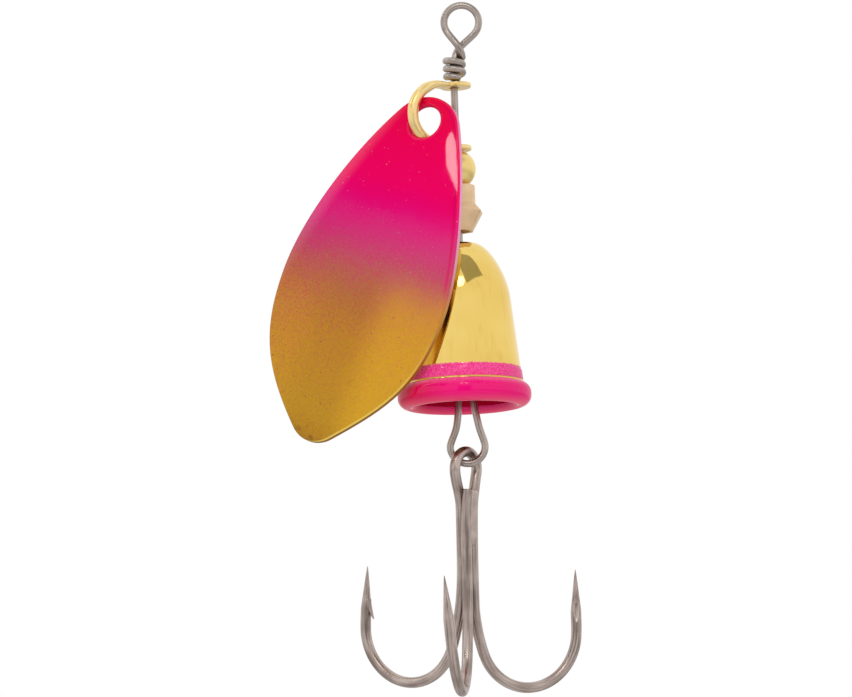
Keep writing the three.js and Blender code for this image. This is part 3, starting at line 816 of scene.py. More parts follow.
@dataclass(frozen=True)
class BladeLacquer:
    """Lacquered blade: hot pink misted over gold, a bare edge and a gold back.

    Bounds named down are shares of the way down the blade, bounds named across
    and inset are millimetres across it and in from its outline.
    """

    name: str = "blade_lacquer"
    fade_turn: float = 1.0
    fade_top: float = 3.0
    fade_foot: float = -36.0
    fade: Stops = stops(
        (0.00, 232, 10, 62), (0.12, 236, 0, 82), (0.25, 236, 0, 94), (0.29, 232, 0, 103),
        (0.33, 226, 8, 113), (0.37, 220, 36, 119), (0.41, 210, 48, 118), (0.45, 200, 62, 108),
        (0.49, 188, 82, 92), (0.52, 184, 92, 78), (0.56, 184, 104, 60), (0.60, 189, 116, 44),
        (0.65, 194, 130, 28), (0.70, 198, 138, 19), (0.76, 200, 143, 14), (0.90, 199, 149, 11),
        (0.96, 190, 138, 10), (1.00, 164, 112, 11),
    )
    rim: Stops = stops(
        (0.00, 240, 120, 170), (0.18, 244, 160, 204), (0.42, 228, 166, 184), (0.50, 214, 136, 120),
        (0.55, 216, 156, 92), (0.72, 170, 112, 48), (1.00, 150, 96, 34),
    )
    mist: Glaze = Glaze(tone(205, 40, 80), 0.42, Patches(5.0, 0.46, 0.62))
    dust: Glaze = Glaze(tone(120, 60, 40), 0.22, Patches(4.6, 0.48, 0.66, 2.0, (-1, 1, 1)))
    specks: Glaze = Glaze(tone(120, 60, 40), 0.7, Patches(4.2, 0.82, 0.835, 0.0))
    pale_specks: Glaze = Glaze(tone(235, 190, 175), 0.3,
                               Patches(5.5, 0.84, 0.85, 0.0, (1, 1, -1)))
    # deep_gold down the gold's middle and the glaze after it on its right side are painted
    # reflections, darker and brighter
    deep_gold: Glaze = Glaze(tone(150, 104, 12), 0.22)
    painted_bright_reflection: Glaze = Glaze(tone(232, 180, 30), 0.35)
    # darker brown patches towards the tip
    tip_darkening: Glaze = Glaze(tone(104, 66, 14), 0.6, Patches(1.6, 0.5, 0.68, 3.0))
    line: Glaze = Glaze(tone(216, 0, 88), 0.8)
    # painted highlight: pale gold along the front face's edge, on the right side of the lower blade
    painted_edge_highlight: Glaze = Glaze(tone(250, 222, 104), 0.85)
    back: Colour = tone(226, 198, 134)
    hole_wall: Colour = tone(214, 20, 84)
    drift_scale: float = 0.22
    drift: float = 2.0
    grain_scale: float = 7.0
    grain: float = 1.6
    grain_reach: float = 0.14
    grain_down: Zone = (0.28, 0.42, 0.6, 0.9)
    mist_down: Zone = (0.34, 0.5, 0.55, 1.1)
    gold_down: Spot = (0.46, 0.6)
    painted_dark_reflection_across: Zone = (-7.0, -2.0, 1.0, 5.0)
    painted_bright_reflection_across: Spot = (1.0, 6.0)
    tip_darkening_down: Spot = (0.91, 1.0)
    line_inset: Zone = (0.12, 0.22, 0.36, 0.62)
    line_across: Spot = (0.0, 3.0)
    line_down: Spot = (0.44, 0.54)
    painted_edge_highlight_inset: Spot = (0.04, 0.17)
    painted_edge_highlight_across: Spot = (-1.0, 2.0)
    painted_edge_highlight_down: Spot = (0.55, 0.9)
    bare_rim: Spot = (0.62, 1.0)
    gold_metal: float = 0.3
    rough_range: Spot = (0.36, 0.44)
    back_roughness: float = 0.24
    coat: float = 0.4
    rim_coat_loss: float = 0.5
    coat_roughness: float = 0.03
    coat_ior: float = 1.5
    ripple_scale: float = 0.5
    ripple_depth: float = 0.01

    def material(self) -> bpy.types.Material:
        """The fade runs down the blade, a little turned from its length.

        Returns:
            The material.
        """
        recipe = Recipe.named(self.name, "place")
        across, _, up = recipe.parts(recipe.place)
        rim, back, wall = recipe.parts(recipe.mark("part"))
        inset, _, _ = recipe.parts(recipe.mark("inset"))
        turn = math.radians(self.fade_turn)
        fade = up * math.cos(turn) - across * math.sin(turn)
        drift = (recipe.noise(self.drift_scale) - 0.5) * self.drift
        down = (self.fade_top - (fade + drift)) / (self.fade_top - self.fade_foot)
        gold = down.eased(*self.gold_down)
        grain = (recipe.noise(self.grain_scale) - 0.5) * self.grain
        spread = grain * down.within(self.grain_down) * self.grain_reach
        line = (inset.within(self.line_inset) * across.eased(*self.line_across)
                * (1 - down.eased(*self.line_down)))
        # painted highlight along the right-hand edge of the lower blade
        painted_edge_highlight = ((1 - inset.eased(*self.painted_edge_highlight_inset)) * across.eased(*self.painted_edge_highlight_across)
                 * down.eased(*self.painted_edge_highlight_down) * (1 - back))
        bare = rim.eased(*self.bare_rim)
        colour = recipe.ramp(down + spread, self.fade)
        for glaze, where in (
            (self.mist, down.within(self.mist_down)),
            (self.dust, gold),
            # painted reflections on the gold: darker down its middle, brighter towards its right
            # side
            (self.deep_gold, gold * across.within(self.painted_dark_reflection_across)),
            (self.painted_bright_reflection, gold * across.eased(*self.painted_bright_reflection_across)),
            (self.specks, gold),
            (self.pale_specks, 1.0),
            (self.tip_darkening, down.eased(*self.tip_darkening_down)),
            (self.line, line),
        ):
            colour = glaze.over(colour, recipe, where)
        colour = recipe.mixed(wall, colour, self.hole_wall)
        colour = self.painted_edge_highlight.over(colour, recipe, painted_edge_highlight)
        colour = recipe.mixed(bare, colour, recipe.ramp(down, self.rim))
        front = 1 - back
        metal = (gold * (1 - bare) + bare) * self.gold_metal
        return recipe.done(
            base_color=recipe.mixed(back, colour, self.back),
            metallic=metal * front + back,
            roughness=(blended(grain * 0.5 + 0.5, *self.rough_range) * front
                       + back * self.back_roughness),
            coat_weight=front * (1 - rim * self.rim_coat_loss) * self.coat,
            coat_roughness=self.coat_roughness,
            coat_ior=self.coat_ior,
            specular_ior_level=0.0,
            normal=recipe.bump(recipe.noise(self.ripple_scale, 1.0), self.ripple_depth),
        )


@dataclass(frozen=True)
class BellPlating:
    """Polished gold plate above a sprayed pink band and a thick pink lip.

    Drops are millimetres below the crown, and the edges' bounds are millimetres
    from their drop. The bounds across are metres and noise scales are per metre.
    """

    band_drop: float
    crease_drop: float
    paint_end: float
    lip_end: float
    name: str = "bell_plating"
    gold: Colour = tone(240, 208, 118)
    deep_gold: Glaze = Glaze(tone(233, 198, 104), 1.0, Patches(160.0, 0.3, 0.7))
    # painted reflections: faint darker upright streaks on the gold
    painted_streak_reflections: Glaze = Glaze(tone(214, 176, 92), 0.35, Patches(2200.0, 0.5, 0.8, 3.0, (1, 1, 0.12)))
    pink: Colour = tone(238, 0, 116)
    # painted shade: the pink turns a darker crimson towards the left side (-X)
    crimson_shade: Glaze = Glaze(tone(218, 0, 66), 0.8)
    crimson_shade_across: Spot = (-0.0056, -0.0012)
    band_pink: Colour = tone(240, 40, 132)
    sparkle: Glaze = Glaze(tone(246, 122, 180), 0.5, Patches(6800.0, 0.4, 0.68, 1.0))
    # partly band paint dusted over the lip's top, partly a painted highlight: paler pink there
    overspray_and_highlight: Glaze = Glaze(tone(238, 112, 156), 0.75)
    # painted highlight: paler coral pink round the lip's lower edge
    painted_rim_highlight: Glaze = Glaze(tone(246, 84, 112), 0.7)
    inside: Colour = tone(196, 0, 50)
    fuzz_scale: float = 5200.0
    fuzz: float = 0.4
    band_edge: Spot = (-0.24, -0.1)
    crease_scale: float = 1600.0
    crease_fuzz: float = 0.008
    crease_square: Spot = (0.008, 0.02)
    wave_scale: float = 700.0
    wave: float = 2.0
    inner_edge: Spot = (-0.1, 0.1)
    lip_edge: Spot = (0.0, 0.3)
    overspray_and_highlight_edge: Spot = (-0.1, 0.8)
    painted_rim_highlight_edge: Spot = (-0.75, 0.1)
    rough_range: Spot = (0.07, 0.42)
    coat: float = 0.5
    coat_roughness: float = 0.03
    grain_scale: float = 900.0
    grain_depth: float = 0.006

    def material(self) -> bpy.types.Material:
        """The paint's bounds are heights below the crown, roughened by noise.

        Returns:
            The material.
        """
        recipe = Recipe.named(self.name)
        across, _, _ = recipe.parts(recipe.place)
        _, depth, inner = recipe.parts(recipe.mark("level"))
        fuzz = (recipe.noise(self.fuzz_scale) - 0.5) * self.fuzz
        wave = (recipe.noise(self.wave_scale, 1.0) - 0.5) * self.wave
        off_crease = depth - self.crease_drop
        groove = off_crease * off_crease + recipe.noise(self.crease_scale) * self.crease_fuzz
        outer = 1 - inner
        outside = ((depth + fuzz).past(self.band_drop, self.band_edge)
                   * groove.eased(*self.crease_square))
        paint = outer * outside + inner * (depth + wave).past(self.paint_end, self.inner_edge)
        lip = depth.past(self.crease_drop, self.lip_edge)
        band = (1 - lip) * outer
        # painted shade: darker crimson on the left side
        pink = self.crimson_shade.over(self.pink, recipe, 1 - across.eased(*self.crimson_shade_across))
        pink = recipe.mixed(band, pink, self.band_pink)
        pink = self.sparkle.over(pink, recipe, band)
        # paler pink over the lip's top: partly dusted band paint, partly a painted highlight
        below_overspray_and_highlight = (depth + fuzz * 2).past(self.crease_drop, self.overspray_and_highlight_edge)
        pink = self.overspray_and_highlight.over(pink, recipe, (1 - below_overspray_and_highlight) * lip)
        # painted highlight round the lip's lower edge
        pink = self.painted_rim_highlight.over(pink, recipe, depth.past(self.lip_end, self.painted_rim_highlight_edge) * outer)
        pink = recipe.mixed(inner, pink, self.inside)
        # the gold's upright streaks are painted reflections
        gold = self.painted_streak_reflections.over(self.deep_gold.over(self.gold, recipe), recipe)
        return recipe.done(
            base_color=recipe.mixed(paint, gold, pink),
            metallic=1 - paint,
            roughness=blended(paint, *self.rough_range),
            coat_weight=paint * self.coat,
            coat_roughness=self.coat_roughness,
            specular_ior_level=0.0,
            normal=recipe.bump(recipe.noise(self.grain_scale), self.grain_depth),
        )


# --------------------------------------------------------------------- the lure


@dataclass(frozen=True)
class Fitting:
    """Where a finished piece belongs."""

    body: str
    node: str
    slot: str

    def fit(self, shell: Shell, name: str, material: bpy.types.Material) -> bpy.types.Object:
        """Makes the piece, dresses it and lets it stand for its CAD node.

        Args:
            shell: the piece's surface.
            name: the piece's name.
            material: its finish.

        Returns:
            The piece's object, at the origin.
        """
        mesh = shell.mesh(name)
        mesh.materials.append(material)
        piece = put(name, mesh)
        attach(piece, self.body)
        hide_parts(self.node)
        LOG.info("%s: %d points, %d faces, %.2f mm3", name, len(mesh.vertices),
                 len(mesh.polygons), shell.volume())
        return piece


@dataclass
class Levels:
    """Heights on the shaft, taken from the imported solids."""

    clevis_top: float
    bead_top: float
    gear_top: float
    bell_top: float
    bell_mouth: float

    @classmethod
    def measured(cls, clevis_lift: float) -> "Levels":
        """Reads the solids' boxes; the clevis's upper disc is that far over the bead.

        Args:
            clevis_lift: from the bead's top to the disc's middle.

        Returns:
            The heights.
        """
        bell_top, bell_mouth = top_and_foot("bell")
        bead_top = top_and_foot("bead")[0]
        return cls(
            clevis_top=bead_top + clevis_lift,
            bead_top=bead_top,
            gear_top=top_and_foot("gear")[0],
            bell_top=bell_top,
            bell_mouth=bell_mouth,
        )


@dataclass
class ShaftWire:
    """One wire: line eye, wraps, straight shaft, lower loop and tucked-in tag."""

    levels: Levels
    wire: float = 0.76
    eye_radius: float = 1.82
    eye_offset: float = 0.98
    eye_rise: float = 0.25
    eye_slopes: Spot = (31, 42)
    crossing: Point = (0.62, 0.43, -2.5)
    wrap_radius: float = 0.86
    wrap_offset: float = 0.09
    wrap_pitch: float = 0.84
    wrap_turn: float = 1030
    wrap_drop: float = 3.42
    wrap_step: float = 30
    under_wraps: Point = (0.24, 0.2, 0.1)
    bare: float = 0.9
    loop_half_width: float = 1.8
    loop_offset: float = 0.15
    loop_drop: float = 5.84
    legs: Spot = (0.6, 0.93)
    waists: Spot = (0.95, 1.4)
    roof_drop: float = 8.3
    tag_gap: float = 0.05
    tag_run: float = 2.0
    roof_run: float = 1.2
    leg_start: float = 0.7
    eye_steps: int = 14
    loop_steps: int = 8
    finish: DrawnWire = DrawnWire("nickel_wire", tone(190, 178, 170), tone(160, 148, 140))

    def loop_bottom(self) -> Point:
        """The lower loop's lowest centre-line point."""
        return self.loop_offset, 0.0, self.levels.bell_mouth - self.loop_drop

    def knots(self) -> np.ndarray:
        """Centre line from the wraps' cut end to the tag's end.

        The wraps are a helix, the eye and the loop are arcs in the XZ plane, and
        single points carry the wire between them.

        Returns:
            The points that the wire passes through.
        """
        turn = np.linspace(self.wrap_turn, 0, math.ceil(self.wrap_turn / self.wrap_step))
        angle = np.radians(turn)
        wraps = np.stack([self.wrap_offset + self.wrap_radius * np.cos(angle),
                          self.wrap_radius * np.sin(angle),
                          -self.wrap_drop - self.wrap_pitch * turn / 360], -1)
        left, right = self.eye_slopes
        eye = arc((self.eye_offset, self.eye_rise), self.eye_radius, 180 + left, -right,
                  self.eye_steps)
        loop_centre = self.loop_bottom()[2] + self.loop_half_width
        loop = arc((self.loop_offset, loop_centre), self.loop_half_width, 180, 360,
                   self.loop_steps)
        cross_x, cross_y, cross_z = self.crossing
        under_x, under_y, under_z = self.under_wraps
        leg_left, leg_right = self.legs
        waist_left, waist_right = self.waists
        leg_top = self.levels.bell_mouth + self.wire
        waist = loop_centre + (self.loop_drop - self.loop_half_width) / 2
        roof = self.levels.bell_top - self.roof_drop
        shaft = [-self.wrap_drop - self.bare, self.levels.clevis_top, self.levels.gear_top,
                 roof, roof - self.roof_run]
        return np.concatenate([
            wraps,
            [[cross_x, -cross_y, cross_z]],
            in_xz(eye),
            [self.crossing, [under_x, under_y, under_z - self.wrap_drop]],
            rows(0, 0, shaft),
            [[-leg_left * self.leg_start, 0, (roof + leg_top) / 2 - self.roof_run],
             [-leg_left, 0, leg_top],
             [-waist_left, 0, waist]],
            in_xz(loop),
            [[waist_right, 0, waist],
             [leg_right, 0, leg_top],
             [leg_right, 0, roof - self.tag_run],
             [leg_right, 0, roof - self.tag_gap]],
        ])

    def build(self) -> None:
        """Sweeps the wire and fits it."""
        shell = RoundWire(self.wire).swept(self.knots())
        Fitting("shaft", "shaft_wire", "nickel_wire").fit(shell, "shaft", self.finish.material())


@dataclass
class Clevis:
    """Round wire bent to a C, its ends hammered out to pierced discs."""

    levels: Levels
    wire: float = 1.14
    height: float = 6.69
    reach: float = 4.93
    bow_rise: float = 0.23
    bend: tuple[Spot, ...] = (
        (0, 0), (0.03, 0.5), (0.13, 0.97), (0.37, 1.52), (0.76, 2.08), (1.26, 2.56),
        (1.89, 2.94), (2.72, 3.2))
    sag: float = 1.6
    setback: float = 0.2
    disc: float = 3.2
    disc_thickness: float = 0.5
    hole: float = 1.16
    bead_gap: float = 0.23
    yaw: float = 27
    edge: float = 0.14
    hole_edge: float = 0.08
    arm_width: float = 2.1
    flattening: float = 2.6
    squareness: float = 1.6
    arm_rows: int = 150
    arm_sides: int = 32
    disc_sides: int = 72
    finish: Plating = Plating("brass_wire", tone(247, 219, 154), tone(238, 205, 134), 0.26,
                              5200.0, 0.002)

    def arms(self) -> Shell:
        """The bent wire between the discs, flattening towards both ends.

        The section is an oval: its width lies along Y and its depth across the
        bend. Near the ends the width eases out and the depth eases in to the
        disc's thickness, while the oval turns squarer.

        Returns:
            The arms and bow as one shell.
        """
        top, foot = self.levels.clevis_top, self.levels.clevis_top - self.height
        start = (self.disc - self.wire) / 2
        half = np.array(self.bend) * (-1, 1) + (self.reach, 0)
        middle = (top + foot) / 2 + self.bow_rise
        bow = np.concatenate([half[::-1], half[1:] * (1, -1)]) + (0, middle)
        curve = smooth_curve(in_xz(np.concatenate([[[start, top]], bow, [[start, foot]]])))
        length = run_of(curve)[-1]
        distance = np.linspace(0, length, self.arm_rows)
        path = along(curve, distance)
        flat = 1 - np.minimum(distance, length - distance) / self.flattening
        flat = np.clip(flat, 0, 1)[:, None]
        flat = flat ** 2 * (3 - 2 * flat)
        width = self.wire + (self.arm_width - self.wire) * flat
        depth = self.wire + (self.disc_thickness - self.wire) * flat
        cross, deep = oval(once_round(self.arm_sides), 2 / (2 + self.squareness * flat))
        side = np.array([0.0, 1.0, 0.0])
        out = np.cross(unit(np.gradient(path, axis=0)), side)
        return tube(path, cross * width / 2, side, deep * depth / 2, out)

    def pierced_disc(self, height: float, setback: float) -> Shell:
        """A disc with soft edges round a hole that may be off its centre.

        The softened section of the rim is carried round the axis, and points
        further out are shifted back in step with their radius.

        Args:
            height: height of its middle.
            setback: shift of the outer edge away from the bow.

        Returns:
            The disc.
        """
        half, inner, outer = self.disc_thickness / 2, self.hole / 2, self.disc / 2
        top, foot, edge, hole_edge = height + half, height - half, self.edge, self.hole_edge
        shell = lathe(softened([(inner, top, hole_edge), (outer, top, edge),
                                (outer, foot, edge), (inner, foot, hole_edge)]), self.disc_sides)
        radius = np.hypot(shell.points[:, 0], shell.points[:, 1])
        shell.points[:, 0] -= setback * (radius - inner) / (outer - inner)
        return shell

    def build(self) -> None:
        """Joins arms and discs and fits them."""
        top = self.levels.clevis_top
        shell = self.arms().joined(self.pierced_disc(top, self.setback),
                                   self.pierced_disc(top - self.height, 0.0))
        shell.points[:, 2] -= shell.points[:, 0] * math.tan(math.radians(self.sag))
        shell = shell.placed(turn_about("Z", 180 + self.yaw), (0, 0, 0))
        Fitting("clevis", "clevis", "brass_wire").fit(shell, "stirrup", self.finish.material())


@dataclass
class Blade:
    """A domed plate hung by its hole, measured from that hole's centre."""

    head: float = 2.96
    tip: float = 35.3
    half_width: float = 10.42
    widest: float = 18.9
    shoulder_fullness: float = 0.3
    flank_fullness: float = 0.43
    heel_fullness: float = 0.47
    head_radius: float = 4.33
    tip_radius: float = 3.6
    shoulder_angle: float = 58
    tip_angle: float = 41.5
    thickness: float = 0.7
    hole: float = 3.5
    hole_shift: Spot = (-0.12, 0.12)
    dome_across: float = 55.6
    dome_along: float = 143
    hole_at: Point = (-3.22, -2.32, -10.79)
    opening: float = 22.3
    pitch: float = 3.2
    roll: float = -31.5
    front_edge: float = 0.22
    back_edge: float = 0.12
    hole_edge: float = 0.38
    hole_back_edge: float = 0.26
    guard: float = 0.03
    columns: int = 460
    head_steps: int = 24
    tip_steps: int = 20
    flank_steps: int = 90
    face_rows: int = 46
    face_guard: float = 0.002
    edge_rows: int = 8
    finish: BladeLacquer = BladeLacquer()

    def outline(self) -> np.ndarray:
        """Outline seen square on, even steps all round from the head.

        A round head, a full curve out to the widest place, another in to the
        heel and a round tip; the left side mirrors the right.

        Returns:
            Points across and up.
        """
        head_centre, tip_centre = self.head - self.head_radius, self.tip_radius - self.tip
        head = arc((0, head_centre), self.head_radius, 90, 90 - self.shoulder_angle,
                   self.head_steps)
        tip = arc((0, tip_centre), self.tip_radius, self.tip_angle - 90, -90,
                  self.tip_steps)
        shoulder, heel = heading(-self.shoulder_angle), heading(self.tip_angle)
        upper = (head[-1, 1] + self.widest) * self.shoulder_fullness
        lower = (self.tip - self.widest) * self.flank_fullness
        heel_reach = (self.tip - self.widest) * self.heel_fullness
        widest = np.array([self.half_width, -self.widest])
        flank = bezier([head[-1], head[-1] + shoulder[:2] * upper, widest + (0, upper), widest],
                       self.flank_steps)
        waist = bezier([widest, widest - (0, lower), tip[0] + heel[:2] * heel_reach, tip[0]],
                       self.flank_steps)
        right = np.concatenate([head, flank[1:], waist[1:], tip[1:]])
        full = np.concatenate([right, right[-2:0:-1] * (-1, 1), right[:1]])
        return along(full, np.linspace(0, run_of(full)[-1], self.columns, endpoint=False))

    def outer_face(self, across: np.ndarray, up: np.ndarray) -> np.ndarray:
        """Depth of the outer face: a barrel whose radius shrinks to both ends.

        Args:
            across: place across the blade.
            up: place along it, from the hole.

        Returns:
            The depth at each place.
        """
        apex = (self.head - self.tip) / 2
        axis = self.dome_across - apex ** 2 / (2 * self.dome_along)
        radius = self.dome_across - (up - apex) ** 2 / (2 * self.dome_along)
        return axis - np.sqrt(radius ** 2 - across ** 2)

    def section(self) -> np.ndarray:
        """The plate's section from the hole out and back, one row to each ring.

        Columns: share of the way from hole to outline, inset from the outline,
        inset from the hole, depth below the outer face, and how much the row
        belongs to the rim, the back and the hole's wall.

        Returns:
            The rows of the closed section.
        """
        front, back, thick = self.front_edge, self.back_edge, self.thickness
        hole, rear, guard = self.hole_edge, self.hole_back_edge, self.guard
        share = np.concatenate([[0, self.face_guard], np.linspace(0, 1, self.face_rows)[1:-1],
                                [1 - self.face_guard, 1]])
        ease = np.linspace(0, 1, self.edge_rows)[1:]
        sine, cosine = np.sin(ease * math.pi / 2), np.cos(ease * math.pi / 2)
        return np.concatenate([
            rows(share, front, hole, 0, 0, 0, 0),
            rows(1, front * (1 - sine), 0, front * (1 - cosine), ease, 0, 0),
            rows(1, 0, 0, [front + guard, thick / 2, thick - back - guard, thick - back],
                 1, 0, 0),
            rows(1, back * (1 - cosine), 0, thick - back * (1 - sine), 1 - ease, ease, 0),
            rows(share[::-1], back, rear, thick, 0, 1, 0),
            rows(0, 0, rear * (1 - sine), thick - rear * (1 - cosine), 0, 1 - ease, ease),
            rows(0, 0, 0, [thick - rear - guard / 3, hole + guard / 3, hole], 0, 0, 1),
            rows(0, 0, hole * (1 - cosine[:-1]), hole * (1 - sine[:-1]), 0, 0, 1 - ease[:-1]),
        ])

    def plate(self) -> Shell:
        """Carries the section round the hole, between it and the outline.

        A point lies on the ray from the hole's centre to an outline point, the
        given share of the way between the two insets, at the outer face's depth
        plus its own.

        Returns:
            The plate in its own frame, marked with its place and its part.
        """
        outline = self.outline()
        outward = unit(np.roll(outline, -1, 0) - np.roll(outline, 1, 0))
        outward = outward @ np.array([[0, 1], [-1, 0]])
        outward *= np.sign(np.einsum("ij,ij->", outward, outline))
        ray = unit(outline)
        way, inset, gap, depth, rim, rear, wall = (line[:, None] for line in self.section().T)
        outer = outline - inset[..., None] * outward
        inner = (self.hole / 2 + gap)[..., None] * ray + self.hole_shift
        flat = inner + way[..., None] * (outer - inner)
        across, up = flat[..., 0], flat[..., 1]
        grid = np.stack([across, self.outer_face(across, up) + depth, up], -1)
        part = np.stack(np.broadcast_arrays(rim, rear, wall), -1)
        near = np.linalg.norm(outline - flat, axis=-1) * np.einsum("ij,ij->i", ray, outward)
        return Shell.of_grid(grid, ring=True, place=grid, part=part, inset=near[..., None])

    def build(self) -> None:
        """Turns the plate to its rest place and fits it."""
        tilt = turn_about("X", self.pitch) @ turn_about("Y", self.opening)
        turn = tilt @ turn_about("Z", self.roll)
        shell = self.plate().placed(turn, self.hole_at)
        blade = Fitting("blade", "blade", "blade_finish")
        blade.fit(shell, "spinner_blade", self.finish.material())


@dataclass
class Bead:
    """A barrel-shaped bead on the shaft."""

    levels: Levels
    height: float = 3.42
    radius: float = 1.97
    end_radius: float = 1.05
    bore: float = 0.94
    soft: float = 0.1
    bulge_rows: int = 40
    soft_steps: int = 5
    sides: int = 96
    finish: Plating = Plating("bead_brass", tone(246, 220, 150), tone(236, 206, 130), 0.3,
                              4200.0, 0.002)

    def build(self) -> None:
        """Turns an oval section cut off flat at both ends."""
        end = math.acos(self.end_radius / self.radius)
        angle = np.linspace(end, -end, self.bulge_rows)
        top, half, soft = self.levels.bead_top, self.height / 2, self.soft
        bulge = rows(self.radius * np.cos(angle), top - half + half * np.sin(angle) / math.sin(end))
        wall, foot = self.bore / 2 + soft, top - self.height + soft
        bore = np.concatenate([arc((wall, foot), soft, 270, 180, self.soft_steps),
                               arc((wall, top - soft), soft, 180, 90, self.soft_steps)])
        shell = lathe(np.concatenate([bulge, bore]), self.sides)
        Fitting("bead", "bead", "brass_wire").fit(shell, "bead_barrel", self.finish.material())


@dataclass
class Gear:
    """A round neck on a six-sided flare, bored and hollow below."""

    levels: Levels
    neck_radius: float = 1.8
    neck_height: float = 1.75
    neck_ease: float = 0.01
    radius: float = 2.84
    flare_drop: float = 2.85
    height: float = 4.88
    top_radius: float = 0.6
    foot_radius: float = 1.6
    sides: int = 6
    turn: float = 26
    corner: float = 0.975
    corner_ease: float = 0.0004
    edge: float = 0.12
    hollow_radius: float = 1.15
    hollow_depth: float = 1.3
    hollow_wall: float = 0.4
    hollow_edge: float = 0.08
    bore: float = 0.94
    bore_edge: float = 0.1
    columns: int = 180
    outer_rows: int = 56
    edge_rows: int = 5
    finish: Plating = Plating("satin_brass", tone(244, 214, 178), tone(224, 190, 150), 0.42,
                              3000.0, 0.012)

    def hexagon(self, angle: np.ndarray) -> np.ndarray:
        """Radius of a six-sided outline for a corner radius of one, corners eased.

        Args:
            angle: angle about the shaft.

        Returns:
            The radius at each angle.
        """
        part = 2 * math.pi / self.sides
        local = (angle - math.radians(self.turn) + part / 2) % part - part / 2
        side = math.cos(part / 2) / np.cos(part / 2 - np.abs(local))
        return side + self.corner - larger(side, self.corner, self.corner_ease)

    def outside(self, drop: np.ndarray, angle: np.ndarray) -> np.ndarray:
        """Outer radius: the larger of the neck's and the six-sided flare's, eased.

        Args:
            drop: how far below the top, as a column.
            angle: angle about the shaft.

        Returns:
            The radius at each drop and angle.
        """
        flare = np.interp(drop, [0, self.neck_height, self.flare_drop, self.height],
                          [self.top_radius, self.neck_radius, self.radius, self.foot_radius])
        neck = np.where(drop < self.flare_drop, self.neck_radius, 0.0)
        return larger(neck, flare * self.hexagon(angle), self.neck_ease)

    def build(self) -> None:
        """Carries the outside, its rounded end edges and the bored inside round."""
        top, foot, edge = self.levels.gear_top, self.levels.gear_top - self.height, self.edge
        angle = once_round(self.columns)
        drop = np.linspace(edge, self.height - edge, self.outer_rows)
        drop = np.sort(np.append(drop, self.flare_drop))[:, None]
        outer = self.outside(drop, angle)
        quarter = np.linspace(0, math.pi / 2, self.edge_rows)[:, None]
        sine, cosine = edge * np.sin(quarter), edge * np.cos(quarter)
        wall, bore = self.bore / 2, self.bore / 2 + self.bore_edge
        inside = np.concatenate([
            arc((self.hollow_radius + self.hollow_edge, foot + self.hollow_edge),
                self.hollow_edge, 270, 180, self.edge_rows - 1),
            [[self.hollow_radius, foot + self.hollow_wall], [bore, foot + self.hollow_depth],
             [wall, foot + self.hollow_depth + self.bore_edge]],
            arc((bore, top - self.bore_edge), self.bore_edge, 180, 90, self.edge_rows - 1)])
        shell = Shell.of_grid(np.concatenate([
            turned(outer[:1] - edge + sine, top - edge + cosine, angle),
            turned(outer, top - drop, angle)[1:-1],
            turned(outer[-1:] - edge + cosine, foot + edge - sine, angle),
            turned(inside[:, :1], inside[:, 1:], angle),
        ]), ring=True)
        Fitting("gear", "gear", "satin_brass").fit(shell, "drive_gear", self.finish.material())


